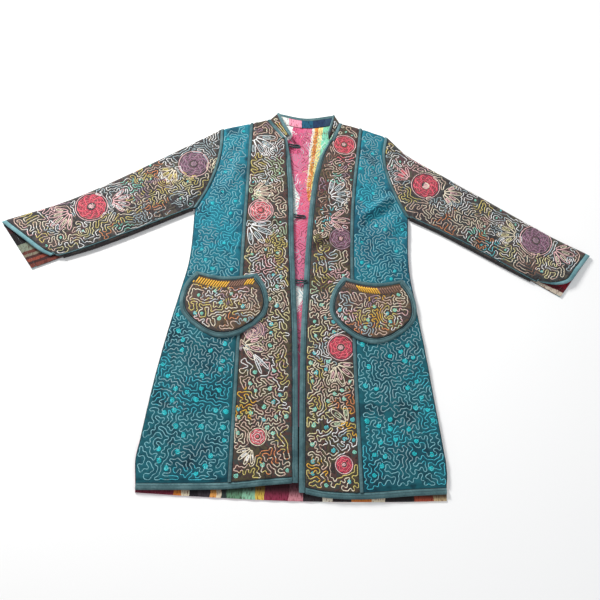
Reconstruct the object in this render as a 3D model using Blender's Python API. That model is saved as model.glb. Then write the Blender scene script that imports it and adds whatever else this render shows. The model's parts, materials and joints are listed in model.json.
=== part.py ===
"""A knee-length quilted coat, open down the front and laid out flat on its back.

Everything is in metres. X runs to the viewer's right, Y from the hem to the collar and Z up from
the surface the coat lies on. The plan tables measure Y up from the hem line, and ORIGIN_UP is
where along them the part's own origin lies.
"""
import math

import bmesh
import bpy
import numpy as np

# Cloth and seams
WALL = 0.003          # two layers of cotton with thin batting, stitched through
GAP = 0.0003          # between pieces that meet at a seam
PUFF = 0.0013         # how far the quilting swells between its stitch lines
CELL = 0.024          # spacing of the swells
LOFT = 0.0032         # how far the fronts stand off the back in the middle
FOLD_LIFT = 0.0008    # the same at a sleeve's top fold
ORIGIN_UP = 0.46      # the origin's height above the hem line

# Distances over which the fronts rise from where they are sewn to the back
SIDE_EASE = 0.055
SHOULDER_EASE = 0.070
HEM_EASE = 0.100
HEM_SHARE = 0.35      # share of the rise that the loose hem keeps
CREASE_EASE = 0.020   # folds die out this close to the side seam

# The same on a sleeve, as shares of its width and of its length
SEAM_EASE = 0.25
TOP_EASE = 0.40
ARMHOLE_EASE = 0.14
CREASE_SHARE = 0.20

# Bindings and strips, by width
EDGE_BINDING = 0.013
SEAM_STRIP = 0.011
ARMHOLE_STRIP = 0.009
CUFF_BINDING = 0.011
COLLAR_BINDING = 0.007
SLEEVE_BINDING = 0.0022
TAPE = 0.0011         # thickness of a strip that lies on a panel
CROWN = 0.0007        # how far a binding or strip is proud along its middle
TAPER_FROM = 0.76     # the front bindings narrow by half from this height
TAPER_OVER = 0.08
SEAM_BULGE = 0.0010   # the sleeve seam is this far outside its plan line

FRONT_UNDER = WALL + GAP
FLAT = math.radians(0.05)       # cells that turn less than this are one face

# Cells along and across the panels, each about CELL long
SIDE_ROWS = 27
ARM_ROWS = 9
NECK_ROWS = 3
BAND_COLUMNS = 4
SIDE_COLUMNS = 6
SLEEVE_ROWS = 19
POCKET_ROWS = 5
POCKET_COLUMNS = 8

# Half outline of the body: height above hem, x of the left and of the right edge
SIDE_SEAM = [
    # height, left, right
    (0.000, -0.322, 0.320),
    (0.060, -0.328, 0.322),
    (0.110, -0.322, 0.316),
    (0.210, -0.310, 0.301),
    (0.318, -0.293, 0.285),
    (0.431, -0.271, 0.266),
    (0.520, -0.256, 0.254),
    (0.645, -0.2555, 0.2555),
]
ARMHOLE = [
    # height, left, right
    (0.645, -0.2555, 0.2555),
    (0.697, -0.231, 0.230),
    (0.755, -0.2135, 0.209),
    (0.812, -0.206, 0.200),
    (0.865, -0.206, 0.207),
]
# Seam between band and side front
BAND_SEAM = [
    # height, left, right
    (0.000, -0.131, 0.142),
    (0.303, -0.132, 0.127),
    (0.544, -0.135, 0.120),
    (0.700, -0.134, 0.124),
    (0.887, -0.133, 0.142),
]
# Outer side of the front edge bindings, where the coat opens
FRONT_EDGE = [
    # height, left, right
    (0.000, 0.0105, 0.0125),
    (0.120, 0.007, 0.0095),
    (0.320, 0.000, 0.006),
    (0.450, -0.0085, 0.009),
    (0.564, -0.0165, 0.012),
    (0.690, -0.0225, 0.020),
    (0.780, -0.031, 0.034),
    (0.850, -0.0435, 0.0640),
]
# The front hem hangs unevenly, and the left front is pulled up at the opening
HEM = [
    # share of the way from the opening to the side, left height, right height
    (0.00, 0.0250, 0.0060),
    (0.20, 0.0180, -0.0030),
    (0.45, 0.0080, -0.0030),
    (0.75, 0.0035, 0.0060),
    (1.00, 0.0010, 0.0120),
]
NECK_POINT = (0.089, 0.900)
BACK_NECK = 0.883
BACK_HEM = [
    # share of the way from the left side to the right, height
    (0.0, -0.004),
    (0.2, -0.008),
    (0.5, -0.011),
    (0.8, -0.007),
    (1.0, -0.001),
]

# Sleeves, from the armhole to the cuff
SLEEVE_TOP = [
    # left x, left height, right x, right height
    (-0.206, 0.865, 0.207, 0.865),
    (-0.254, 0.832, 0.260, 0.812),
    (-0.337, 0.777, 0.349, 0.758),
    (-0.418, 0.725, 0.435, 0.707),
    (-0.498, 0.676, 0.520, 0.656),
    (-0.577, 0.634, 0.604, 0.607),
    (-0.697, 0.583, 0.690, 0.564),
]
SLEEVE_SEAM = [
    # left x, left height, right x, right height
    (-0.2555, 0.645, 0.2555, 0.645),
    (-0.321, 0.611, 0.328, 0.612),
    (-0.400, 0.570, 0.406, 0.571),
    (-0.479, 0.532, 0.487, 0.527),
    (-0.545, 0.506, 0.543, 0.498),
]
# Past the end of the seam the cuff is slit, and its two layers part
UPPER_CUFF = [
    # left x, left height, right x, right height
    (-0.575, 0.506, 0.565, 0.494),
    (-0.600, 0.516, 0.602, 0.488),
    (-0.634, 0.539, 0.636, 0.498),
    (-0.664, 0.560, 0.660, 0.528),
    (-0.697, 0.583, 0.690, 0.564),
]
UNDER_CUFF = [
    # left x, left height, right x, right height
    (-0.612, 0.474, 0.610, 0.460),
    (-0.655, 0.529, 0.650, 0.512),
    (-0.697, 0.583, 0.690, 0.564),
]

# Patch pockets: a D shape by the corners of its outline, as distances from the centre line
POCKET_SIDE = [
    # outer x, inner x, height
    (0.2430, 0.0945, 0.360),
    (0.2640, 0.0740, 0.385),
    (0.2690, 0.0690, 0.415),
    (0.2600, 0.0785, 0.452),
    (0.2380, 0.0990, 0.482),
]
POCKET_BOTTOM = [
    # share of the way from the outer to the inner corner, height
    (0.00, 0.360),
    (0.25, 0.335),
    (0.50, 0.326),
    (0.75, 0.335),
    (1.00, 0.360),
]
POCKET_DIP = 0.012
POCKET_MIDDLE = (0.168, 0.407)
POCKET_INSET = (0.880, 0.846)   # size of the pocket cloth inside its bindings
POCKET_REACH = (0.112, 0.092)   # half the area where the front lies plain under a pocket
POCKET_SLACK = 0.0012           # how far the mouth stands off the front
SLACK_FROM = 0.43
SLACK_OVER = 0.05
BRIDGE = 0.032                  # half the width that is raised to clear the seam strip
BRIDGE_EASE = 0.05

# Collar: the front parts stand up more towards the opening
COLLAR_FRONT = [
    # share of the way from the opening to the fold, left top x and height,
    # right top x and height, rise of the top over the base
    (0.00, -0.0335, 0.8510, 0.0590, 0.8610, 0.015),
    (0.50, -0.0500, 0.8860, 0.0645, 0.8900, 0.009),
]
COLLAR_FOLD = [
    # left base x and height, right base x and height
    (-0.0862, 0.8999, 0.0862, 0.8999),
    # left top x and height, right top x and height
    (-0.0655, 0.9225, 0.0710, 0.9250),
]
COLLAR_TOP_CENTRE = 0.9125
COLLAR_CLEAR = 0.0024     # from the neck seam to the middle of the standing collar's wall
COLLAR_STEPS = 6
COLLAR_ANGLES = [math.radians(angle) for angle in (90, 45, 0, -45, -90)]
FOLD_ANGLES = [math.radians(angle) for angle in (-45, 0, 45)]

# Button loops of folded tape, the lowest one lying over the right front's binding
OVER_BINDING = FRONT_UNDER + LOFT + WALL + CROWN + 2 * GAP
LOOPS = [
    # name, x of the front edge they leave, height, length, height off the surface of the end
    ("loop_top", -0.0382, 0.829, 0.029, FRONT_UNDER),
    ("loop_middle", -0.0190, 0.635, 0.029, FRONT_UNDER),
    ("loop_lower", -0.0093, 0.467, 0.028, OVER_BINDING),
]
LOOP_STRAND = 0.0038
LOOP_SLOT = 0.0020
LOOP_TAPE = 0.0014
LOOP_START = 0.0010

# Largest folds: name, start x and height, end x and height, half width, rise of its middle
FOLDS = [
    ("right chest pull", 0.236, 0.682, 0.140, 0.601, 0.013, -0.0030),
    ("right chest ridge", 0.226, 0.712, 0.128, 0.636, 0.018, 0.0030),
    ("right shoulder crease", 0.166, 0.832, 0.212, 0.748, 0.012, -0.0028),
    ("right side crease", 0.222, 0.607, 0.250, 0.563, 0.011, -0.0026),
    ("left chest valley", -0.168, 0.840, -0.232, 0.702, 0.020, -0.0026),
    ("left chest ridge", -0.150, 0.790, -0.196, 0.668, 0.020, 0.0018),
    ("left hem roll", -0.075, 0.030, -0.006, 0.110, 0.022, 0.0028),
    ("left skirt swell", -0.215, 0.280, -0.262, 0.050, 0.030, 0.0018),
    ("right skirt swell", 0.196, 0.250, 0.246, 0.060, 0.030, 0.0020),
    ("left sleeve crease", -0.330, 0.766, -0.318, 0.622, 0.016, -0.0016),
    ("left elbow crease", -0.470, 0.684, -0.452, 0.552, 0.018, -0.0018),
    ("right sleeve crease", 0.338, 0.752, 0.322, 0.628, 0.016, -0.0018),
    ("right elbow crease", 0.486, 0.664, 0.462, 0.552, 0.018, -0.0016),
]

# Cloth colours as linear red, green and blue
TEAL = (0.012, 0.150, 0.200)
BAND_CLOTH = (0.085, 0.060, 0.045)
SLEEVE_CLOTH = (0.120, 0.095, 0.085)
BINDING_CLOTH = (0.075, 0.155, 0.170)
LINING_CLOTH = (0.620, 0.130, 0.190)
POCKET_CLOTH = (0.210, 0.120, 0.040)
LOOP_CLOTH = (0.035, 0.070, 0.080)

SIDES = {"left": -1, "right": 1}

for thing in list(bpy.data.objects):
    bpy.data.objects.remove(thing, do_unlink=True)
coat = bpy.data.collections.new("quilted_coat")
bpy.context.scene.collection.children.link(coat)


def smooth(value):
    """Ease from 0 to 1 as the value does the same."""
    value = np.clip(value, 0.0, 1.0)
    return value * value * (3.0 - 2.0 * value)


def curve(points, count):
    """Give count + 1 evenly spaced points on a smooth curve through the given ones."""
    points = np.array(points, float)
    padded = np.vstack([2 * points[0] - points[1], points, 2 * points[-1] - points[-2]])
    fine = []
    for before, start, end, after in zip(padded, padded[1:], padded[2:], padded[3:]):
        for t in np.linspace(0.0, 1.0, 20, endpoint=False):
            bend = (2 * before - 5 * start + 4 * end - after) * t * t
            twist = (3 * start - before - 3 * end + after) * t ** 3
            fine.append(0.5 * (2 * start + (end - before) * t + bend + twist))
    fine = np.array(fine + [points[-1]])
    steps = np.linalg.norm(np.diff(fine, axis=0), axis=1)
    run = np.concatenate([[0.0], np.cumsum(steps)])
    marks = np.linspace(0.0, run[-1], count + 1)
    return np.column_stack([np.interp(marks, run, axis) for axis in fine.T])


def column_points(table, side):
    """Read (x, height) points from a table of heights with a left and a right column."""
    pick = 1 if side < 0 else 2
    return [(row[pick], row[0]) for row in table]


def pair_points(table, side):
    """Read (x, height) points from a table with a pair of columns for each side."""
    start = 0 if side < 0 else 2
    return [row[start:start + 2] for row in table]


def patch(left, right, bottom, top):
    """Fill four edges with a grid of points, rows from bottom to top (a Coons patch)."""
    s = np.linspace(0.0, 1.0, len(bottom))[None, :, None]
    t = np.linspace(0.0, 1.0, len(left))[:, None, None]
    across = (1 - s) * left[:, None] + s * right[:, None]
    upward = (1 - t) * bottom[None] + t * top[None]
    lower = (1 - s) * bottom[0] + s * bottom[-1]
    upper = (1 - s) * top[0] + s * top[-1]
    return across + upward - (1 - t) * lower - t * upper


def toward(start, end, distance):
    """Move each start point a distance towards its end point."""
    way = end - start
    return start + way * (distance / np.linalg.norm(way, axis=-1, keepdims=True))


def with_margins(grid, first, last):
    """Add a column at a fixed distance inside each long edge of a grid."""
    inner_first = toward(grid[:, 0], grid[:, 1], first)
    inner_last = toward(grid[:, -1], grid[:, -2], last)
    return np.concatenate([grid[:, :1], inner_first[:, None], grid[:, 1:-1],
                           inner_last[:, None], grid[:, -1:]], axis=1)


def fold_rise(x, y):
    """Sum the folds at a place: each is a soft ridge or trough along a short line."""
    total = np.zeros_like(x)
    for _, x0, y0, x1, y1, half_width, rise in FOLDS:
        length_squared = (x1 - x0) ** 2 + (y1 - y0) ** 2
        along = np.clip(((x - x0) * (x1 - x0) + (y - y0) * (y1 - y0)) / length_squared, 0, 1)
        away = np.hypot(x - x0 - along * (x1 - x0), y - y0 - along * (y1 - y0))
        fade = smooth(along / 0.25) * smooth((1 - along) / 0.25)
        total += rise * fade * np.exp(-(away / half_width) ** 2)
    return total


def shoulder_line(x):
    """Height of the shoulder seam above the hem at a distance from the centre line."""
    tip = ARMHOLE[-1]
    return np.interp(np.abs(x), [NECK_POINT[0], tip[2]], [NECK_POINT[1], tip[0]])


def front_under(plan):
    """Height of the fronts' inner face over the surface the coat lies on."""
    x, y = plan[..., 0], plan[..., 1]
    body = SIDE_SEAM + ARMHOLE[1:]
    half_width = np.interp(y, [row[0] for row in body], [row[2] for row in body])
    stand = smooth((half_width - np.abs(x)) / SIDE_EASE)
    stand *= smooth((shoulder_line(x) - y) / SHOULDER_EASE)
    stand *= HEM_SHARE + (1.0 - HEM_SHARE) * smooth(y / HEM_EASE)
    loose = stand * LOFT + fold_rise(x, y) * smooth((half_width - np.abs(x)) / CREASE_EASE)
    return FRONT_UNDER + np.maximum(loose, 0.0)


def raised(plan, height):
    """Stand plan points at a height."""
    return np.concatenate([plan, np.broadcast_to(height, plan.shape[:-1])[..., None]], axis=-1)


def finish(node, colour, bm):
    """Make the object of a node from its mesh data, with its own cloth material."""
    bmesh.ops.recalc_face_normals(bm, faces=bm.faces)
    for vertex in bm.verts:
        vertex.co.y -= ORIGIN_UP
    mesh = bpy.data.meshes.new(node)
    bm.to_mesh(mesh)
    bm.free()
    material = bpy.data.materials.new(node + "_cloth")
    material.use_nodes = True
    shader = material.node_tree.nodes["Principled BSDF"]
    shader.inputs["Base Color"].default_value = (*colour, 1.0)
    shader.inputs["Roughness"].default_value = 0.85
    shader.inputs["Metallic"].default_value = 0.0
    mesh.materials.append(material)
    piece = bpy.data.objects.new(node, mesh)
    coat.objects.link(piece)


def wall(node, colour, lower, upper, puffed=None):
    """Build a closed wall of cloth between two grids of points, [row][column].

    A flat grid is extruded once, and its two sheets take their points from lower and upper.
    Where puffed is true, the upper face of a cell swells, as quilting does between stitches.
    """
    rows, columns = lower.shape[:2]
    bm = bmesh.new()
    bmesh.ops.create_grid(bm, x_segments=columns - 1, y_segments=rows - 1, size=1.0)
    row_of = bm.verts.layers.int.new("row")
    column_of = bm.verts.layers.int.new("column")
    for vertex in bm.verts:
        vertex[column_of] = round((vertex.co.x + 1.0) / 2.0 * (columns - 1))
        vertex[row_of] = round((vertex.co.y + 1.0) / 2.0 * (rows - 1))
    sheet = bm.faces[:]
    grown = bmesh.ops.extrude_face_region(bm, geom=sheet)["geom"]
    outside = {part for part in grown if isinstance(part, bmesh.types.BMVert)}
    for vertex in bm.verts:
        grid = upper if vertex in outside else lower
        vertex.co = grid[vertex[row_of], vertex[column_of]]
    bmesh.ops.recalc_face_normals(bm, faces=bm.faces)
    if puffed is not None:
        swells = []
        for face in bm.faces:
            if all(vertex in outside for vertex in face.verts):
                row = min(vertex[row_of] for vertex in face.verts)
                column = min(vertex[column_of] for vertex in face.verts)
                if puffed[row, column]:
                    swells.append(face)
        bmesh.ops.poke(bm, faces=swells, offset=PUFF)
    bmesh.ops.dissolve_limit(bm, angle_limit=FLAT, verts=bm.verts, edges=bm.edges)
    finish(node, colour, bm)


def offset(points, distance):
    """Move a plan curve sideways, to the right of its run where the distance is positive."""
    run = np.gradient(points, axis=0)
    run /= np.linalg.norm(run, axis=1, keepdims=True)
    return points + distance * np.column_stack([run[:, 1], -run[:, 0]])


def hem_height(side, x):
    """Height of the front hem's lower edge at a place across the coat."""
    opening = column_points(FRONT_EDGE, side)[0][0]
    corner = column_points(SIDE_SEAM, side)[0][0]
    pick = 1 if side < 0 else 2
    line = curve([(row[0], row[pick]) for row in HEM], 40)
    share = (np.asarray(x) - opening) / (corner - opening)
    return np.interp(share, line[:, 0], line[:, 1])


def above_hem(side, points):
    """Start a line of points just above the hem binding."""
    x = points[0][0]
    first = (x, float(hem_height(side, x)) + EDGE_BINDING + GAP)
    return [first] + [point for point in points[1:] if point[1] > first[1] + CELL]


def body_lines(side):
    """Plan curves of one front: side with armhole, band seam, and front edge with neckline."""
    outer = np.vstack([curve(above_hem(side, column_points(SIDE_SEAM, side)), SIDE_ROWS),
                       curve(column_points(ARMHOLE, side), ARM_ROWS)[1:]])
    seam = curve(above_hem(side, column_points(BAND_SEAM, side)), SIDE_ROWS + ARM_ROWS)
    opening = curve(column_points(FRONT_EDGE, side), SIDE_ROWS + ARM_ROWS - NECK_ROWS)
    taper = 1.0 - 0.5 * smooth((opening[:, 1] - TAPER_FROM) / TAPER_OVER)
    edge = offset(opening, side * (EDGE_BINDING * taper + GAP)[:, None])
    edge = curve(above_hem(side, [tuple(point) for point in edge]), len(opening) - 1)
    neck = curve([edge[-1], (side * NECK_POINT[0], NECK_POINT[1])], NECK_ROWS)
    return outer, seam, opening, np.vstack([edge, neck[1:]])


def pocket_outline(side, scale_x=1.0, scale_y=1.0):
    """Edges of a pocket from its bottom corners: outer side, inner side, bottom and mouth."""
    outer = curve([(side * row[0], row[2]) for row in POCKET_SIDE], POCKET_ROWS)
    inner = curve([(side * row[1], row[2]) for row in POCKET_SIDE], POCKET_ROWS)
    width = inner[0] - outer[0]
    bottom = curve([(outer[0][0] + share * width[0], height) for share, height in POCKET_BOTTOM],
                   POCKET_COLUMNS)
    share = np.linspace(0.0, 1.0, POCKET_COLUMNS + 1)[:, None]
    mouth = outer[-1] + share * (inner[-1] - outer[-1])
    mouth[:, 1] -= POCKET_DIP * np.sin(math.pi * share[:, 0])
    middle = np.array([side * POCKET_MIDDLE[0], POCKET_MIDDLE[1]])
    scale = np.array([scale_x, scale_y])
    return [middle + (line - middle) * scale for line in (outer, inner, bottom, mouth)]


def pocket_under(side, plan):
    """Height of a pocket's inner face: it clears the front, and the strip that it crosses."""
    seam = curve(column_points(BAND_SEAM, side), 60)
    away = np.abs(plan[..., 0] - np.interp(plan[..., 1], seam[:, 1], seam[:, 0]))
    over_strip = (TAPE + CROWN + GAP) * (1.0 - smooth((away - BRIDGE) / BRIDGE_EASE))
    slack = POCKET_SLACK * smooth((plan[..., 1] - SLACK_FROM) / SLACK_OVER)
    return front_under(plan) + WALL + 2 * GAP + over_strip + slack


def between(side, left, right, columns):
    """Fill the cloth between two long edges, from above the hem binding to the shoulder."""
    hem_x = np.linspace(left[0, 0], right[0, 0], columns + 1)
    bottom = np.column_stack([hem_x, hem_height(side, hem_x) + EDGE_BINDING + GAP])
    bottom[0], bottom[-1] = left[0], right[0]
    top = left[-1] + np.linspace(0, 1, columns + 1)[:, None] * (right[-1] - left[-1])
    return patch(left, right, bottom, top)


def panel(node, colour, plan, pocket):
    """Build one quilted front panel from its plan grid, plain where strips and pocket lie."""
    under = front_under(plan)
    centres = (plan[:-1, :-1] + plan[1:, 1:]) / 2
    puffed = np.ones(centres.shape[:2], bool)
    puffed[:, [0, -1]] = False
    puffed &= np.abs((centres - pocket) / np.array(POCKET_REACH)).max(axis=-1) > 1.0
    wall(node, colour, raised(plan, under), raised(plan, under + WALL), puffed)


def strip(node, colour, plan, under, crown=CROWN, thick=WALL):
    """Build a binding or tape, a little proud along the middle of its three columns."""
    top = under + thick
    top[:, 1] += crown
    wall(node, colour, raised(plan, under), raised(plan, top))


def folded(node, colour, under_plan, over_plan, lift, puffed=None):
    """Build cloth folded along its last column: an under layer, the fold and an over layer."""
    rows, columns = under_plan.shape[:2]
    inner = [raised(under_plan, WALL)]
    outer = [raised(under_plan, 0.0)]
    line = under_plan[:, -1]
    beside = under_plan[:, -2] - line
    run = np.gradient(line, axis=0)
    run /= np.linalg.norm(run, axis=1, keepdims=True)
    out = np.column_stack([run[:, 1], -run[:, 0]])
    out *= -np.sign((out * beside).sum(axis=1, keepdims=True))
    radius = (GAP + lift[:, -1]) / 2
    for angle in FOLD_ANGLES:
        for sheet, reach in ((inner, radius), (outer, radius + WALL)):
            place = line + out * (reach * math.cos(angle))[:, None]
            height = WALL + radius + reach * math.sin(angle)
            sheet.append(raised(place, height)[:, None])
    over_under = FRONT_UNDER + lift[:, ::-1]
    inner.append(raised(over_plan[:, ::-1], over_under))
    outer.append(raised(over_plan[:, ::-1], over_under + WALL))
    if puffed is not None:
        plain = np.zeros((rows - 1, columns + len(FOLD_ANGLES)), bool)
        puffed = np.concatenate([plain, puffed[:, ::-1]], axis=1)
    wall(node, colour, np.concatenate(inner, axis=1), np.concatenate(outer, axis=1), puffed)


def build_front(name, side):
    """Side front, band, pocket and the bindings of one front."""
    outer, seam, opening, edge = body_lines(side)
    inset = np.array([side * GAP / 2, 0.0])
    pocket = np.array([side * POCKET_MIDDLE[0], POCKET_MIDDLE[1]])

    # The side front runs from the band seam out to the side seam and armhole
    side_plan = between(side, seam + inset, outer - inset, SIDE_COLUMNS)
    side_plan = with_margins(side_plan, SEAM_STRIP / 2, ARMHOLE_STRIP / 2)
    panel("side_front_" + name, TEAL, side_plan, pocket)

    # The band runs from the front edge and neckline out to the same seam
    band_plan = between(side, edge, seam - inset, BAND_COLUMNS)
    band_plan = with_margins(band_plan, COLLAR_BINDING, SEAM_STRIP / 2)
    panel("band_" + name, BAND_CLOTH, band_plan, pocket)

    # Tape over the band seam, from the same points as the panels beside it
    tape = np.stack([band_plan[:, -2], seam, side_plan[:, 1]], axis=1)
    strip("seam_strip_" + name, BINDING_CLOTH, tape, front_under(tape) + WALL + GAP, thick=TAPE)

    # The front edge is bound from the hem to the collar
    start = np.array([opening[0, 0], float(hem_height(side, opening[0, 0]))])
    line = curve([start] + [tuple(point) for point in opening[2:]], len(opening))
    bound = np.vstack([[edge[0, 0], start[1]], edge[:len(opening)]]) - [side * GAP, 0.0]
    binding = np.stack([bound, (bound + line) / 2, line], axis=1)
    strip("front_binding_" + name, BINDING_CLOTH, binding, front_under(binding))

    # The hem is bound from the front edge to the side seam
    count = SIDE_COLUMNS + BAND_COLUMNS
    hem_x = np.linspace(bound[0, 0] + side * GAP, outer[0, 0] - inset[0], count + 1)
    low = np.column_stack([hem_x, hem_height(side, hem_x)])
    high = low + np.array([0.0, EDGE_BINDING])
    binding = np.stack([low, (low + high) / 2, high], axis=1)
    strip("hem_binding_" + name, BINDING_CLOTH, binding, front_under(binding))

    # Tape along the neckline, beside the foot of the collar
    neck = slice(len(opening) - 1, len(edge))
    tape = np.stack([band_plan[neck, 0], (band_plan[neck, 0] + band_plan[neck, 1]) / 2,
                     band_plan[neck, 1]], axis=1)
    strip("collar_base_binding_" + name, BINDING_CLOTH, tape,
          front_under(tape) + WALL + GAP, thick=TAPE)
    return outer, side_plan, opening


def build_pocket(name, side):
    """Patch pocket, its bound edge and its bound mouth."""
    outer, inner, bottom, mouth = pocket_outline(side, *POCKET_INSET)
    plan = patch(outer, inner, bottom, mouth)
    under = pocket_under(side, plan)
    puffed = np.ones((POCKET_ROWS, POCKET_COLUMNS), bool)
    wall("pocket_" + name, POCKET_CLOTH, raised(plan, under), raised(plan, under + WALL), puffed)

    # The edge binding runs down the outer side, round the bottom and up the inner side
    slack = GAP / (POCKET_MIDDLE[0] - POCKET_SIDE[-1][1])
    near = pocket_outline(side, POCKET_INSET[0] + slack, POCKET_INSET[1] + slack)
    far = pocket_outline(side)
    rims = [np.vstack([lines[0][::-1], lines[2][1:], lines[1][1:]]) for lines in (near, far)]
    plan = np.stack([rims[0], (rims[0] + rims[1]) / 2, rims[1]], axis=1)
    strip("pocket_edge_binding_" + name, BINDING_CLOTH, plan, pocket_under(side, plan))

    # The mouth binding fills the top between the two ends of the edge binding
    plan = np.stack([near[3], (near[3] + far[3]) / 2, far[3]], axis=1)
    for end, beside in ((0, 1), (-1, -2)):
        plan[end] = toward(plan[end], plan[beside], 2 * GAP)
    strip("pocket_mouth_binding_" + name, BINDING_CLOTH, plan, pocket_under(side, plan))


def build_sleeve(name, side, armhole, panel_column):
    """Sleeve folded along its top edge, its cuff and seam bindings and the armhole strip."""
    start = armhole + np.array([side * GAP / 2, 0.0])
    shoulder_to_cuff = np.array(pair_points(SLEEVE_TOP, side))
    axis = (armhole.mean(axis=0) - (shoulder_to_cuff[-1] + pair_points(UNDER_CUFF, side)[0]) / 2)
    axis /= np.linalg.norm(axis)
    across = np.linspace(0.0, 1.0, ARM_ROWS + 1)
    layers = []
    cuffs = []
    for table in (UNDER_CUFF, UPPER_CUFF):
        cuff = curve(pair_points(table, side), ARM_ROWS)
        end = cuff + axis * (CUFF_BINDING + 2 * GAP)
        seam_points = pair_points(SLEEVE_SEAM, side)[1:]
        low = curve([start[0]] + seam_points + [end[0]], SLEEVE_ROWS)
        high = curve([start[-1]] + list(shoulder_to_cuff[1:-1]) + [end[-1]], SLEEVE_ROWS)
        plan = patch(low, high, start, end)
        plan = with_margins(plan.transpose(1, 0, 2), ARMHOLE_STRIP / 2, CUFF_BINDING / 2)
        layers.append(plan.transpose(1, 0, 2))
        cuffs.append(np.stack([cuff + axis * CUFF_BINDING, cuff + axis * CUFF_BINDING / 2, cuff]))
    under, over = layers

    # The upper layer stands off the lower one, least along the seam and the armhole
    along = np.linspace(0.0, 1.0, len(over))[:, None]
    near_top = smooth((across - 1.0 + TOP_EASE) / TOP_EASE)
    profile = LOFT * smooth(across / SEAM_EASE) * (1 - near_top) + FOLD_LIFT * near_top
    stand = profile[None, :] * smooth(along / ARMHOLE_EASE)
    creases = fold_rise(over[..., 0], over[..., 1]) * smooth(along / ARMHOLE_EASE)
    creases *= smooth(across / CREASE_SHARE) * smooth((1 - across) / CREASE_SHARE)
    lift = np.maximum(stand + creases, 0.0)
    puffed = np.ones((len(over) - 1, ARM_ROWS), bool)
    puffed[[0, -1]] = False
    folded("sleeve_" + name, SLEEVE_CLOTH, under, over, lift, puffed)
    folded("cuff_binding_" + name, BINDING_CLOTH, cuffs[0], cuffs[1],
           np.repeat(lift[-1:], 3, axis=0))

    # The seam along the lower edge is bound, on the outside of both layers
    seam = curve(pair_points(SLEEVE_SEAM, side), SLEEVE_ROWS // 2)[1:]
    near = offset(seam, side * SEAM_BULGE)
    plan = np.stack([near, offset(near, side * SLEEVE_BINDING)], axis=1)
    wall("sleeve_seam_binding_" + name, BINDING_CLOTH, raised(plan, GAP),
         raised(plan, FRONT_UNDER + WALL + GAP))

    # Tape over the armhole seam, on the side front and on the sleeve
    tape = np.stack([panel_column, armhole, over[1]], axis=1)
    height = front_under(tape)
    height[:, 2] = FRONT_UNDER + lift[1]
    height[:, 1] = np.maximum(height[:, 1], FRONT_UNDER + lift[0])
    strip("armhole_strip_" + name, BINDING_CLOTH, tape, height + WALL + GAP, thick=TAPE)


def build_back(lines):
    """Back, a flat wall that lies on the surface, cut as an outline and extruded."""
    left, right = lines
    neck = curve([(-NECK_POINT[0], NECK_POINT[1]), (0.0, BACK_NECK), NECK_POINT], 8)
    corners = [column_points(SIDE_SEAM, side)[0][0] for side in (-1, 1)]
    hem = [(corners[0] + share * (corners[1] - corners[0]), height) for share, height in BACK_HEM]
    hem = curve(hem, 12)
    outline = np.vstack([hem, right[1:SIDE_ROWS:4], right[SIDE_ROWS:] - [GAP / 2, 0.0],
                         neck[::-1], left[SIDE_ROWS:][::-1] + [GAP / 2, 0.0],
                         left[1:SIDE_ROWS:4][::-1]])
    bm = bmesh.new()
    rim = [bm.verts.new((x, y, 0.0)) for x, y in outline]
    face = bm.faces.new(rim)
    grown = bmesh.ops.extrude_face_region(bm, geom=[face])["geom"]
    top = [part for part in grown if isinstance(part, bmesh.types.BMVert)]
    bmesh.ops.translate(bm, verts=top, vec=(0.0, 0.0, WALL))
    finish("back", LINING_CLOTH, bm)
    return neck


def through(first, middle, last, share):
    """Place on the parabola through three points, from 0 at the first to 1 at the last."""
    return (first * (2 * share - 1) * (share - 1) + middle * 4 * share * (1 - share)
            + last * share * (2 * share - 1))


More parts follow.
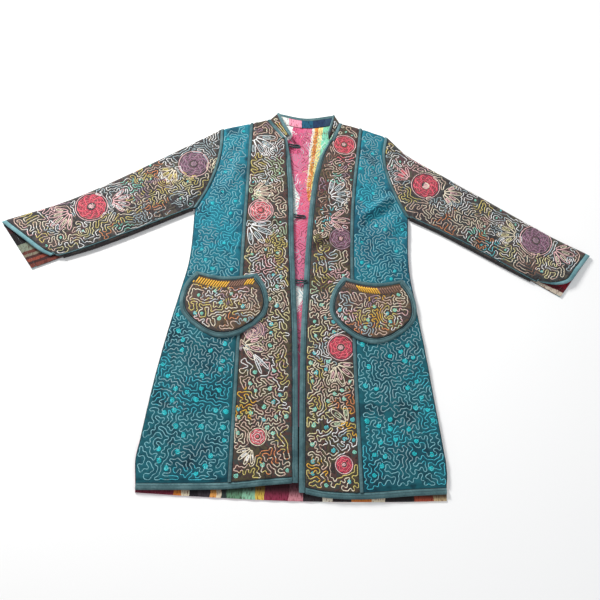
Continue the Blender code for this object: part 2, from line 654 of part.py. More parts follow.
def build_collar(openings, neck):
    """Stand collar in one loft: standing front part, fold, flat back part, and back again."""
    bases, tops, outwards = [], [], []
    for side, opening in zip((-1, 1), openings):
        fold_base, fold_top = (np.array(row) for row in
                               [pair_points(COLLAR_FOLD, side)[k] for k in (0, 1)])
        line = curve([opening[-1], (side * NECK_POINT[0], NECK_POINT[1])], 10)
        line = offset(line, -side * COLLAR_CLEAR)
        half_bases, half_tops, half_outwards = [], [], []
        shown = []
        for row in COLLAR_FRONT:
            foot = line[round(row[0] * 10)]
            base = np.array([*foot, float(front_under(foot)) + WALL / 2])
            tip = row[1:3] if side < 0 else row[3:5]
            shown.append((base, np.array([*tip, base[2] + row[5]])))
        folded_height = FRONT_UNDER + WALL / 2
        shown.append((np.array([*fold_base, folded_height]), np.array([*fold_top, folded_height])))
        run = np.array([*(line[-1] - line[0]), 0.0])
        for share in np.arange(COLLAR_STEPS) / COLLAR_STEPS:
            base, top = (through(*[section[k] for section in shown], share) for k in (0, 1))
            outward = np.cross(run, top - base)
            outward *= np.sign(outward[2]) / np.linalg.norm(outward)
            half_bases.append(base)
            half_tops.append(top)
            half_outwards.append(outward)
        way = (fold_top - fold_base) / np.linalg.norm(fold_top - fold_base)
        out = np.array([side * abs(way[1]), abs(way[0]), 0.0])
        reach = (WALL + GAP) / 2
        for angle in COLLAR_ANGLES:
            turn = out * math.cos(angle) + np.array([0.0, 0.0, math.sin(angle)])
            shift = turn * reach + np.array([0.0, 0.0, WALL + GAP / 2])
            half_bases.append(np.array([*fold_base, 0.0]) + shift)
            half_tops.append(np.array([*fold_top, 0.0]) + shift)
            half_outwards.append(turn)
        steps = (1, 2, 3, 4) if side < 0 else (1, 2, 3)
        upper_line = curve([fold_top, (0.0, COLLAR_TOP_CENTRE), fold_top * [-1, 1]], 8)
        order = neck if side < 0 else neck[::-1]
        for step in steps:
            half_bases.append(np.array([order[step][0], order[step][1] + 3 * GAP, WALL / 2]))
            half_tops.append(np.array([*upper_line[step], WALL / 2]))
            half_outwards.append(np.array([0.0, 0.0, -1.0]))
        turn_back = slice(None) if side < 0 else slice(None, None, -1)
        bases += half_bases[turn_back]
        tops += half_tops[turn_back]
        outwards += half_outwards[turn_back]
    bases, tops, outwards = np.array(bases), np.array(tops), np.array(outwards)
    cloth_tops = toward(tops, bases, COLLAR_BINDING + 2 * GAP)
    middle = (bases + cloth_tops) / 2
    plan = np.stack([bases, middle, cloth_tops], axis=1)
    half = outwards[:, None] * (WALL / 2)
    wall("collar", BAND_CLOTH, plan - half, plan + half)
    plan = np.stack([toward(tops, bases, COLLAR_BINDING), tops], axis=1)
    wall("collar_top_binding", BINDING_CLOTH, plan - half, plan + half)


def build_loops():
    """Three button loops of folded tape, sewn to the left front edge."""
    middle = (LOOP_SLOT + LOOP_STRAND) / 2
    for name, x, height, length, rest in LOOPS:
        turn = np.linspace(math.pi / 2, -math.pi / 2, 7)
        end = x + length - middle - LOOP_STRAND / 2
        path = [(x, middle), (x + 0.4 * length, middle)]
        path += [(end + middle * math.cos(angle), middle * math.sin(angle)) for angle in turn]
        path += [(x + 0.4 * length, -middle), (x, -middle)]
        path = np.array(path) + [0.0, height]
        edges = [offset(path, distance) for distance in (-LOOP_STRAND / 2, LOOP_STRAND / 2)]
        plan = np.stack(edges, axis=1)
        start = float(front_under(np.array([x, height]))) + LOOP_START
        share = smooth((plan[..., 0] - x) / (0.5 * length))
        under = start + (rest - start) * share
        wall(name, LOOP_CLOTH, raised(plan, under), raised(plan, under + LOOP_TAPE))


fronts = {}
for name, side in SIDES.items():
    outer, side_plan, opening = build_front(name, side)
    build_pocket(name, side)
    build_sleeve(name, side, outer[SIDE_ROWS:], side_plan[SIDE_ROWS:, -2])
    fronts[name] = (outer, opening)
neckline = build_back([fronts["left"][0], fronts["right"][0]])
build_collar([fronts["left"][1], fronts["right"][1]], neckline)
build_loops()
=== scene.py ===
# %% [markdown]
# A knee-length quilted coat, laid flat on its back with its sleeves spread. The real one is sewn
# from old printed cottons in two layers with thin batting between, and is covered all over with
# chain stitch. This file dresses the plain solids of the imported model. Each cloth piece becomes a
# thin shell that swells between its stitch lines, and the stitch lines lie on it as real thread.
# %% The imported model
import json
import math

import bpy
import numpy as np
from mathutils import Matrix, Vector
from mathutils.bvhtree import BVHTree
from mathutils.kdtree import KDTree

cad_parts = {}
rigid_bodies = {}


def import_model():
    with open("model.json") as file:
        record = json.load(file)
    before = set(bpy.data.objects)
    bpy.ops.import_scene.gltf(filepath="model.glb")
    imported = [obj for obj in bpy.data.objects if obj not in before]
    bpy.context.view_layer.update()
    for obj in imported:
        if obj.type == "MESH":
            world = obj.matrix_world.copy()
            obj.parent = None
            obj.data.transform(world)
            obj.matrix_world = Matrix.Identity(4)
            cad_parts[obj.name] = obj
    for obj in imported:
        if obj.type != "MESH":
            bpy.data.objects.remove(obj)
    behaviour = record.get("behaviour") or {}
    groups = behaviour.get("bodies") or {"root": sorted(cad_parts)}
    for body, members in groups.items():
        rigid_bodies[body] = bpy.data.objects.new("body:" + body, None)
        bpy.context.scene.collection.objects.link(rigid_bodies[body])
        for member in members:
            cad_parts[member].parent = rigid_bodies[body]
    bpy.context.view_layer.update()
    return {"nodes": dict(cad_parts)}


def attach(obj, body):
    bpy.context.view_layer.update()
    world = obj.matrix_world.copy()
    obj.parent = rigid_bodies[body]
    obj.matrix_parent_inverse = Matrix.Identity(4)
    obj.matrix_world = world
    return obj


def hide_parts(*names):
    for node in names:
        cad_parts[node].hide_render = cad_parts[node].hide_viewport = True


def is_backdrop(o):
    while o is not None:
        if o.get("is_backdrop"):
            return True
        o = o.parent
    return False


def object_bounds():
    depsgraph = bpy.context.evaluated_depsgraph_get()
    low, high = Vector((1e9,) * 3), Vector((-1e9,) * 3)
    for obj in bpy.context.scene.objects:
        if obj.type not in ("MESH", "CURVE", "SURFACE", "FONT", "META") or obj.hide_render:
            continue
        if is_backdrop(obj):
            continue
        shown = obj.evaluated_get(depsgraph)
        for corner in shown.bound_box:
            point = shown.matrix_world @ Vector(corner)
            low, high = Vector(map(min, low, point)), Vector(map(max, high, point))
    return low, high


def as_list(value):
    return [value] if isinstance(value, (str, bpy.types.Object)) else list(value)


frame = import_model()
print("solids in the packed model:", len(frame["nodes"]))

# %% [markdown]
# The plan of the coat is a handful of lines measured up from the hem, the same ones that the
# solids were built from. Every shell is drawn from these lines again, only with smaller cells, so
# it lies exactly where its solid lies. Lengths are metres, and the part's own origin is
# ORIGIN_UP above the hem line.
# %% Sizes of cloth and seams
WALL = 0.003          # two layers of cotton with thin batting
GAP = 0.0003          # between pieces that meet at a seam
CELL = 0.024          # cell of the plain solids, which the lines are spaced by
LOFT = 0.0032         # how far the fronts stand off the back
FOLD_LIFT = 0.0008    # the same at a sleeve's top fold
ORIGIN_UP = 0.46
SIDE_EASE = 0.055     # the fronts come down to the back within this of the side seams,
SHOULDER_EASE = 0.070  # of the shoulders
HEM_EASE = 0.100      # and of the hem, where HEM_SHARE of the loft is left
HEM_SHARE = 0.35
CREASE_EASE = 0.020
SEAM_EASE = 0.25      # shares of a sleeve's width and length that its loft rises over
TOP_EASE = 0.40
ARMHOLE_EASE = 0.14
CREASE_SHARE = 0.20
EDGE_BINDING = 0.013
CUFF_BINDING = 0.011
COLLAR_BINDING = 0.007
SLEEVE_BINDING = 0.0022
TAPE = 0.0011
CROWN = 0.0007
TAPER_FROM = 0.76
TAPER_OVER = 0.08
SEAM_BULGE = 0.0010
FRONT_UNDER = WALL + GAP

# Rows and columns of the shells
SIDE_ROWS = 270
ARM_ROWS = 90
NECK_ROWS = 30
SIDE_COLUMNS = 66
BAND_COLUMNS = 48
SLEEVE_ROWS = 190

SIDES = {"left": -1, "right": 1}
print("rows down a front:", SIDE_ROWS + ARM_ROWS)

# %% [markdown]
# A tailor drafts half a coat and mirrors it. This coat is worn and laid by hand, so each of its
# long lines has its own left and right numbers.
# %% Plan lines of the body
SIDE_SEAM = [
    # height, left, right
    (0.000, -0.322, 0.320),
    (0.060, -0.328, 0.322),
    (0.110, -0.322, 0.316),
    (0.210, -0.310, 0.301),
    (0.318, -0.293, 0.285),
    (0.431, -0.271, 0.266),
    (0.520, -0.256, 0.254),
    (0.645, -0.2555, 0.2555),
]
ARMHOLE = [
    (0.645, -0.2555, 0.2555),
    (0.697, -0.231, 0.230),
    (0.755, -0.2135, 0.209),
    (0.812, -0.206, 0.200),
    (0.865, -0.206, 0.207),
]
BAND_SEAM = [
    (0.000, -0.131, 0.142),
    (0.303, -0.132, 0.127),
    (0.544, -0.135, 0.120),
    (0.700, -0.134, 0.124),
    (0.887, -0.133, 0.142),
]
FRONT_EDGE = [
    (0.000, 0.0105, 0.0125),
    (0.120, 0.007, 0.0095),
    (0.320, 0.000, 0.006),
    (0.450, -0.0085, 0.009),
    (0.564, -0.0165, 0.012),
    (0.690, -0.0225, 0.020),
    (0.780, -0.031, 0.034),
    (0.850, -0.0435, 0.0640),
]
HEM = [
    # share of the way from the opening to the side, left height, right height
    (0.00, 0.0250, 0.0060),
    (0.20, 0.0180, -0.0030),
    (0.45, 0.0080, -0.0030),
    (0.75, 0.0035, 0.0060),
    (1.00, 0.0010, 0.0120),
]
NECK_POINT = (0.089, 0.900)
BACK_NECK = 0.883
BACK_HEM = [
    # share of the way from the left side to the right, height
    (0.0, -0.004),
    (0.2, -0.008),
    (0.5, -0.011),
    (0.8, -0.007),
    (1.0, -0.001),
]
print("points given for the body:", sum(map(len, (SIDE_SEAM, ARMHOLE, BAND_SEAM, FRONT_EDGE, HEM))))

# %% [markdown]
# A sleeve is folded along its top edge, so it has one top line, one seam line, and a cuff line
# for each of its two layers, which spread apart at the slit.
# %% Plan lines of the sleeves
SLEEVE_TOP = [
    # left x, left height, right x, right height
    (-0.206, 0.865, 0.207, 0.865),
    (-0.254, 0.832, 0.260, 0.812),
    (-0.337, 0.777, 0.349, 0.758),
    (-0.418, 0.725, 0.435, 0.707),
    (-0.498, 0.676, 0.520, 0.656),
    (-0.577, 0.634, 0.604, 0.607),
    (-0.697, 0.583, 0.690, 0.564),
]
SLEEVE_SEAM = [
    (-0.2555, 0.645, 0.2555, 0.645),
    (-0.321, 0.611, 0.328, 0.612),
    (-0.400, 0.570, 0.406, 0.571),
    (-0.479, 0.532, 0.487, 0.527),
    (-0.545, 0.506, 0.543, 0.498),
]
UPPER_CUFF = [
    (-0.575, 0.506, 0.565, 0.494),
    (-0.600, 0.516, 0.602, 0.488),
    (-0.634, 0.539, 0.636, 0.498),
    (-0.664, 0.560, 0.660, 0.528),
    (-0.697, 0.583, 0.690, 0.564),
]
UNDER_CUFF = [
    (-0.612, 0.474, 0.610, 0.460),
    (-0.655, 0.529, 0.650, 0.512),
    (-0.697, 0.583, 0.690, 0.564),
]
print("points given for the sleeves:", 2 * len(SLEEVE_TOP + SLEEVE_SEAM + UPPER_CUFF + UNDER_CUFF))

# %% [markdown]
# The pockets mirror each other. The collar's ends stand and lean, so they are given by sections,
# and every large crease of the cloth is one short line with a width and a rise.
# %% Plan lines of pockets, collar, loops and folds
POCKET_SIDE = [
    # outer x, inner x, height
    (0.2430, 0.0945, 0.360),
    (0.2640, 0.0740, 0.385),
    (0.2690, 0.0690, 0.415),
    (0.2600, 0.0785, 0.452),
    (0.2380, 0.0990, 0.482),
]
POCKET_BOTTOM = [
    # share of the way from the outer to the inner corner, height
    (0.00, 0.360),
    (0.25, 0.335),
    (0.50, 0.326),
    (0.75, 0.335),
    (1.00, 0.360),
]
POCKET_ROWS = 50
POCKET_COLUMNS = 76
POCKET_DIP = 0.012
POCKET_MIDDLE = (0.168, 0.407)
POCKET_INSET = (0.880, 0.846)
POCKET_SLACK = 0.0012
SLACK_FROM = 0.43
SLACK_OVER = 0.05
BRIDGE = 0.032
BRIDGE_EASE = 0.05
COLLAR_FRONT = [
    # share of the way from the opening to the fold, left top x and height,
    # right top x and height, rise of the top over the base
    (0.00, -0.0335, 0.8510, 0.0590, 0.8610, 0.015),
    (0.50, -0.0500, 0.8860, 0.0645, 0.8900, 0.009),
]
COLLAR_FOLD = [
    # left base x and height, right base x and height
    (-0.0862, 0.8999, 0.0862, 0.8999),
    # left top x and height, right top x and height
    (-0.0655, 0.9225, 0.0710, 0.9250),
]
COLLAR_TOP_CENTRE = 0.9125
COLLAR_CLEAR = 0.0024
COLLAR_STEPS = 26
COLLAR_ANGLES = [math.radians(angle) for angle in (90, 60, 30, 0, -30, -60, -90)]
FOLD_ANGLES = [math.radians(angle) for angle in (-60, -40, -20, 0, 20, 40, 60)]
OVER_BINDING = FRONT_UNDER + LOFT + WALL + CROWN + 2 * GAP
LOOPS = [
    # name, x of the front edge they leave, height, length, height off the surface of the end
    ("loop_top", -0.0382, 0.829, 0.029, FRONT_UNDER),
    ("loop_middle", -0.0190, 0.635, 0.029, FRONT_UNDER),
    ("loop_lower", -0.0093, 0.467, 0.028, OVER_BINDING),
]
LOOP_STRAND = 0.0038
LOOP_SLOT = 0.0020
LOOP_TAPE = 0.0014
LOOP_START = 0.0010
FOLDS = [
    # start x and height, end x and height, half width, rise of its middle
    (0.238, 0.684, 0.140, 0.601, 0.009, -0.0052),
    (0.230, 0.706, 0.128, 0.628, 0.010, 0.0084),
    (0.242, 0.646, 0.176, 0.584, 0.014, 0.0030),
    (0.166, 0.832, 0.212, 0.748, 0.012, -0.0042),
    (-0.128, 0.621, -0.046, 0.596, 0.010, -0.0046),
    (-0.122, 0.642, -0.046, 0.616, 0.011, 0.0034),
    (0.022, 0.546, 0.082, 0.578, 0.009, -0.0040),
    (0.030, 0.566, 0.080, 0.600, 0.011, 0.0028),
    (-0.262, 0.330, -0.150, 0.286, 0.014, 0.0024),
    (0.150, 0.250, 0.226, 0.170, 0.014, 0.0024),
    (0.222, 0.607, 0.250, 0.563, 0.011, -0.0026),
    (-0.168, 0.840, -0.232, 0.702, 0.018, -0.0040),
    (-0.150, 0.790, -0.196, 0.668, 0.018, 0.0030),
    (-0.075, 0.030, -0.006, 0.110, 0.022, 0.0028),
    (-0.215, 0.280, -0.262, 0.050, 0.030, 0.0018),
    (0.196, 0.250, 0.246, 0.060, 0.030, 0.0020),
    (-0.330, 0.766, -0.318, 0.622, 0.014, -0.0028),
    (-0.470, 0.684, -0.452, 0.552, 0.015, -0.0028),
    (0.338, 0.752, 0.322, 0.628, 0.014, -0.0028),
    (0.486, 0.664, 0.462, 0.552, 0.015, -0.0026),
]
print("creases:", len(FOLDS))

# %% [markdown]
# A few helpers draw smooth lines through the plan points, fill four edges with a grid of points
# and move lines about. They are plain arithmetic on arrays, which keeps a shell of thirty thousand
# points nearly as quick to shape as one of thirty.
# %% Curves and grids of points
def smooth(value):
    """Ease from 0 to 1 as the value does the same."""
    value = np.clip(value, 0.0, 1.0)
    return value * value * (3.0 - 2.0 * value)


def evenly(fine, count):
    """Give count + 1 points at even distances along a fine line."""
    steps = np.linalg.norm(np.diff(fine, axis=0), axis=1)
    run = np.concatenate([[0.0], np.cumsum(steps)])
    marks = np.linspace(0.0, run[-1], count + 1)
    return np.column_stack([np.interp(marks, run, axis) for axis in fine.T])


def through_points(padded, parts):
    """Curve through all but the first and last of the points, with so many parts to a span."""
    before, start, end, after = (padded[k:len(padded) - 3 + k, None] for k in range(4))
    t = np.linspace(0.0, 1.0, parts, endpoint=False)[None, :, None]
    bend = (2 * before - 5 * start + 4 * end - after) * t ** 2
    twist = (3 * start - before - 3 * end + after) * t ** 3
    spans = 0.5 * (2 * start + (end - before) * t + bend + twist)
    return np.vstack([spans.reshape(-1, padded.shape[1]), padded[-2:-1]])


def curve(points, count):
    """Give count + 1 evenly spaced points on a smooth curve through the given ones."""
    points = np.array(points, float)
    padded = np.vstack([2 * points[0] - points[1], points, 2 * points[-1] - points[-2]])
    return evenly(through_points(padded, 20), count)


def column_points(table, side):
    """Read (x, height) points from a table of heights with a left and a right column."""
    pick = 1 if side < 0 else 2
    return [(row[pick], row[0]) for row in table]


def pair_points(table, side):
    """Read (x, height) points from a table with a pair of columns for each side."""
    start = 0 if side < 0 else 2
    return [row[start:start + 2] for row in table]


def patch(left, right, bottom, top):
    """Fill four edges with a grid of points, rows from bottom to top (a Coons patch)."""
    s = np.linspace(0.0, 1.0, len(bottom))[None, :, None]
    t = np.linspace(0.0, 1.0, len(left))[:, None, None]
    across = (1 - s) * left[:, None] + s * right[:, None]
    upward = (1 - t) * bottom[None] + t * top[None]
    lower = (1 - s) * bottom[0] + s * bottom[-1]
    upper = (1 - s) * top[0] + s * top[-1]
    return across + upward - (1 - t) * lower - t * upper


def toward(start, end, distance):
    """Move each start point a distance towards its end point."""
    way = end - start
    return start + way * (distance / np.linalg.norm(way, axis=-1, keepdims=True))


def offset(points, distance):
    """Move a plan curve sideways, to the right of its run where the distance is positive."""
    run = np.gradient(points, axis=0)
    run /= np.linalg.norm(run, axis=1, keepdims=True)
    return points + distance * np.column_stack([run[:, 1], -run[:, 0]])


def raised(plan, height):
    """Stand plan points at a height."""
    return np.concatenate([plan, np.broadcast_to(height, plan.shape[:-1])[..., None]], axis=-1)


seam = curve(column_points(SIDE_SEAM, -1), 100)
print("length of the left side seam:",
      round(float(np.linalg.norm(np.diff(seam, axis=0), axis=1).sum()), 3))

# %% [markdown]
# Laid flat, a padded coat stands off the table by its loft, less toward its seams, shoulders and
# hem. The creases are added to that height, and every layer above takes its own from it.
# %% Heights of the laid cloth
def fold_rise(x, y):
    """Sum the folds at a place: each is a soft ridge or trough along a short line."""
    total = np.zeros_like(x)
    for x0, y0, x1, y1, half_width, rise in FOLDS:
        length_squared = (x1 - x0) ** 2 + (y1 - y0) ** 2
        along = np.clip(((x - x0) * (x1 - x0) + (y - y0) * (y1 - y0)) / length_squared, 0, 1)
        away = np.hypot(x - x0 - along * (x1 - x0), y - y0 - along * (y1 - y0))
        fade = smooth(along / 0.25) * smooth((1 - along) / 0.25)
        total += rise * fade * np.exp(-(away / half_width) ** 2)
    return total


def shoulder_line(x):
    """Height of the shoulder seam above the hem at a distance from the centre line."""
    tip = ARMHOLE[-1]
    return np.interp(np.abs(x), [NECK_POINT[0], tip[2]], [NECK_POINT[1], tip[0]])


def front_under(plan):
    """Height of the fronts' inner face over the surface the coat lies on."""
    x, y = plan[..., 0], plan[..., 1]
    body = SIDE_SEAM + ARMHOLE[1:]
    half_width = np.interp(y, [row[0] for row in body], [row[2] for row in body])
    stand = smooth((half_width - np.abs(x)) / SIDE_EASE)
    stand *= smooth((shoulder_line(x) - y) / SHOULDER_EASE)
    stand *= HEM_SHARE + (1.0 - HEM_SHARE) * smooth(y / HEM_EASE)
    loose = stand * LOFT + fold_rise(x, y) * smooth((half_width - np.abs(x)) / CREASE_EASE)
    return FRONT_UNDER + np.maximum(loose, 0.0)


def hem_height(side, x):
    """Height of the front hem's lower edge at a place across the coat."""
    opening = column_points(FRONT_EDGE, side)[0][0]
    corner = column_points(SIDE_SEAM, side)[0][0]
    pick = 1 if side < 0 else 2
    line = curve([(row[0], row[pick]) for row in HEM], 40)
    share = (np.asarray(x) - opening) / (corner - opening)
    return np.interp(share, line[:, 0], line[:, 1])


def above_hem(side, points):
    """Start a line of points just above the hem binding."""
    x = points[0][0]
    first = (x, float(hem_height(side, x)) + EDGE_BINDING + GAP)
    return [first] + [point for point in points[1:] if point[1] > first[1] + CELL]


def body_lines(side):
    """Plan curves of one front: side with armhole, band seam, and front edge with neckline."""
    outer = np.vstack([curve(above_hem(side, column_points(SIDE_SEAM, side)), SIDE_ROWS),
                       curve(column_points(ARMHOLE, side), ARM_ROWS)[1:]])
    seam = curve(above_hem(side, column_points(BAND_SEAM, side)), SIDE_ROWS + ARM_ROWS)
    opening = curve(column_points(FRONT_EDGE, side), SIDE_ROWS + ARM_ROWS - NECK_ROWS)
    taper = 1.0 - 0.5 * smooth((opening[:, 1] - TAPER_FROM) / TAPER_OVER)
    edge = offset(opening, side * (EDGE_BINDING * taper + GAP)[:, None])
    edge = curve(above_hem(side, [tuple(point) for point in edge]), len(opening) - 1)
    neck = curve([edge[-1], (side * NECK_POINT[0], NECK_POINT[1])], NECK_ROWS)
    return outer, seam, opening, np.vstack([edge, neck[1:]])


def between(side, left, right, columns):
    """Fill the cloth between two long edges, from above the hem binding to the shoulder."""
    hem_x = np.linspace(left[0, 0], right[0, 0], columns + 1)
    bottom = np.column_stack([hem_x, hem_height(side, hem_x) + EDGE_BINDING + GAP])
    bottom[0], bottom[-1] = left[0], right[0]
    top = left[-1] + np.linspace(0, 1, columns + 1)[:, None] * (right[-1] - left[-1])
    return patch(left, right, bottom, top)


def pocket_outline(side, scale_x=1.0, scale_y=1.0):
    """Edges of a pocket from its bottom corners: outer side, inner side, bottom and mouth."""
    outer = curve([(side * row[0], row[2]) for row in POCKET_SIDE], POCKET_ROWS)
    inner = curve([(side * row[1], row[2]) for row in POCKET_SIDE], POCKET_ROWS)
    width = inner[0] - outer[0]
    bottom = curve([(outer[0][0] + share * width[0], height) for share, height in POCKET_BOTTOM],
                   POCKET_COLUMNS)
    share = np.linspace(0.0, 1.0, POCKET_COLUMNS + 1)[:, None]
    mouth = outer[-1] + share * (inner[-1] - outer[-1])
    mouth[:, 1] -= POCKET_DIP * np.sin(math.pi * share[:, 0])
    middle = np.array([side * POCKET_MIDDLE[0], POCKET_MIDDLE[1]])
    scale = np.array([scale_x, scale_y])
    return [middle + (line - middle) * scale for line in (outer, inner, bottom, mouth)]


def pocket_under(side, plan):
    """Height of a pocket's inner face: it clears the front, and the strip that it crosses."""
    seam = curve(column_points(BAND_SEAM, side), 60)
    away = np.abs(plan[..., 0] - np.interp(plan[..., 1], seam[:, 1], seam[:, 0]))
    over_strip = (TAPE + CROWN + GAP) * (1.0 - smooth((away - BRIDGE) / BRIDGE_EASE))
    slack = POCKET_SLACK * smooth((plan[..., 1] - SLACK_FROM) / SLACK_OVER)
    return front_under(plan) + WALL + 2 * GAP + over_strip + slack


body = {name: body_lines(side) for name, side in SIDES.items()}
print("points down one side seam:", len(body["left"][0]))

# %% [markdown]
# Cotton thread and cloth come in a small set of dye colours, named here once. They are written as
# a paint chart would give them, from 0 to 255 on a screen, and turned into the linear values that
# Blender's shaders add up light with.
# %% Dye colours
DYES = {
    "white": (241, 241, 237),
    "cream": (233, 222, 198),
    "beige": (218, 190, 174),
    "pale pink": (242, 192, 194),
    "coral": (234, 116, 126),
    "crimson": (212, 66, 96),
    "plum": (140, 94, 122),
    "mauve": (168, 138, 154),
    "yellow": (212, 196, 118),
    "pale yellow": (222, 214, 162),
    "gold": (230, 178, 62),
    "orange": (222, 142, 92),
    "pale green": (186, 206, 172),
    "mint": (140, 214, 194),
    "turquoise": (92, 196, 204),
    "grey blue": (172, 190, 196),
    "brown": (138, 104, 88),
    "bright turquoise": (40, 206, 214),
    "pale teal": (128, 186, 196),
    "grey teal": (140, 176, 184),
    "olive": (128, 120, 70),
    "maroon": (122, 54, 70),
    "ink": (60, 50, 56),
    "rose": (206, 96, 128),
    "sky": (74, 186, 204),
    # The darkest of these is painted shadow, laid as thread in the grooves beside strips, bindings and
    # piping.
    "ditch": (24, 42, 48),
    "sewn line": (36, 60, 66),
    "piping": (88, 124, 130),
}


def dye(red, green, blue):
    """Turn a screen colour from 0 to 255 into linear red, green and blue with alpha."""
    share = np.array([red, green, blue]) / 255.0
    linear = np.where(share <= 0.04045, share / 12.92, ((share + 0.055) / 1.055) ** 2.4)
    return (*[float(value) for value in linear], 1.0)


print("dye colours:", len(DYES))

# %% [markdown]
# A finish is a tree of nodes. Building one takes many small steps, so a few helpers do the ones
# that come again: add a node and fill its inputs with numbers or links, add a Math node, start a
# node group or a material, lay a colour or a bump over what a material has.
# %% Node helpers
def feed(tree, node, inputs):
    """Give a node's inputs, by name, plain values or links from the sockets of others."""
    for label, value in inputs.items():
        if isinstance(value, bpy.types.NodeSocket):
            tree.links.new(value, node.inputs[label])
        else:
            node.inputs[label].default_value = value


def add_node(tree, kind, inputs, **settings):
    """Add a shader node: its own settings first, then its inputs."""
    node = tree.nodes.new("ShaderNode" + kind)
    for label, value in settings.items():
        setattr(node, label, value)
    feed(tree, node, inputs)
    return node


def maths(tree, operation, *values):
    """Add a Math node to a tree, from sockets or plain numbers, and give its result."""
    return add_node(tree, "Math", dict(enumerate(values)), operation=operation).outputs[0]


def node_group(name, result, **numbers):
    """Start a node group that takes a vector and named numbers and gives one result."""
    group = bpy.data.node_groups.new(name, "ShaderNodeTree")
    group.interface.new_socket("Vector", in_out="INPUT", socket_type="NodeSocketVector")
    for label, value in numbers.items():
        socket = group.interface.new_socket(label, in_out="INPUT", socket_type="NodeSocketFloat")
        socket.default_value = value
    group.interface.new_socket(result, in_out="OUTPUT", socket_type="NodeSocketFloat")
    return group, group.nodes.new("NodeGroupInput").outputs, group.nodes.new("NodeGroupOutput")


def place_of(tree):
    """The place of a point in the part's own metres."""
    return add_node(tree, "TexCoord", {}).outputs["Object"]


def axes_of(tree, vector):
    """The X, Y and Z of a vector."""
    return add_node(tree, "SeparateXYZ", {0: vector}).outputs


def noise_of(tree, vector, scale, detail):
    """A noise value from 0 to 1."""
    inputs = {"Vector": vector, "Scale": scale, "Detail": detail}
    return add_node(tree, "TexNoise", inputs).outputs["Fac"]


def ragged(tree, vector, scale, detail, size):
    """Noise about nought, to push an edge about by."""
    noise = noise_of(tree, vector, scale, detail)
    return maths(tree, "MULTIPLY", maths(tree, "SUBTRACT", noise, 0.5), size)


def shader_of(tree):
    """The shader that a new material starts with."""
    return tree.nodes["Principled BSDF"]


def new_material(name, inputs):
    """Start a material; give it and its node tree."""
    material = bpy.data.materials.new(name)
    material.use_nodes = True
    feed(material.node_tree, shader_of(material.node_tree), inputs)
    return material, material.node_tree


def coloured(tree, share, stops, interpolation="CONSTANT"):
    """Colour a material by a Color Ramp; each stop is (place, screen colour)."""
    node = add_node(tree, "ValToRGB", {"Fac": share})
    node.color_ramp.interpolation = interpolation
    elements = node.color_ramp.elements
    for k, (mark, colour) in enumerate(stops):
        stop = elements[k] if k < 2 else elements.new(mark)
        stop.position = mark
        stop.color = dye(*colour)
    feed(tree, shader_of(tree), {"Base Color": node.outputs["Color"]})


def mixed(material, share, colour, blend="MIX"):
    """Lay a plain colour over a material's own by a share."""
    tree = material.node_tree
    ground = shader_of(tree).inputs["Base Color"].links[0].from_socket
    mix = add_node(tree, "Mix", {"Factor": share, "A": ground, "B": dye(*colour)},
                   data_type="RGBA", blend_type=blend)
    feed(tree, shader_of(tree), {"Base Color": mix.outputs["Result"]})
    return material


def bumped(tree, height, strength, distance):
    """Stand a height on a material's surface, over the bump it has."""
    inputs = {"Strength": strength, "Distance": distance, "Height": height}
    for link in shader_of(tree).inputs["Normal"].links[:1]:
        inputs["Normal"] = link.from_socket
    bump = add_node(tree, "Bump", inputs)
    feed(tree, shader_of(tree), {"Normal": bump.outputs["Normal"]})


print("node helpers ready")

# %% [markdown]
# Every finish here is cotton, so all of them share two effects: the plain weave, with threads
# going over and under each other, and the slow cloudiness of old dye. Each is a node group that
# is built once and placed in every material with its own numbers.
# %% Shared effects
def build_weave():
    """Two crossed sets of threads, each showing where the other goes under."""
    group, inside, outside = node_group("Plain weave", "Height", Pitch=0.001)
    parts = axes_of(group, inside["Vector"])
    turns = maths(group, "DIVIDE", 2 * math.pi, inside["Pitch"])
    across = maths(group, "SINE", maths(group, "MULTIPLY", parts["X"], turns))
    along = maths(group, "SINE", maths(group, "MULTIPLY", parts["Y"], turns))
    checks = maths(group, "MULTIPLY", across, along)
    height = maths(group, "ADD", maths(group, "MULTIPLY", checks, 0.5), 0.5)
    feed(group, outside, {"Height": height})
    return group


def build_cloudiness():
    """Slow and quick noise added together, as old dye and handled cotton have."""
    group, inside, outside = node_group("Worn dye", "Mask", Size=0.05)
    share = maths(group, "DIVIDE", 1.0, inside["Size"])
    slow = noise_of(group, inside["Vector"], share, 3.0)
    quick = noise_of(group, inside["Vector"], maths(group, "MULTIPLY", share, 7.0), 2.0)
    mix = maths(group, "ADD", maths(group, "MULTIPLY", slow, 0.7),
                maths(group, "MULTIPLY", quick, 0.3))
    feed(group, outside, {"Mask": mix})
    return group


weave_group = build_weave()
worn_group = build_cloudiness()
print("shared effects:", [group.name for group in bpy.data.node_groups])

# %% [markdown]
# A cloth finish starts as a Principled shader with no shine. Its colour runs through a Color Ramp
# from the worn-dye mask, and its bump is the weave. Patchwork cloth is the same with hard stops on
# the ramp.
# %% Cloth materials
WEAVE_PITCH = 0.0011
WEAVE_DEPTH = 0.00016
COTTON = {"Roughness": 0.9, "Specular IOR Level": 0.25}


def woven(tree, vector, pitch, depth, strength):
    """Give a material the bump of the plain weave."""
    weave = add_node(tree, "Group", {"Pitch": pitch, "Vector": vector}, node_tree=weave_group)
    bumped(tree, weave.outputs["Height"], strength, WEAVE_DEPTH * depth)


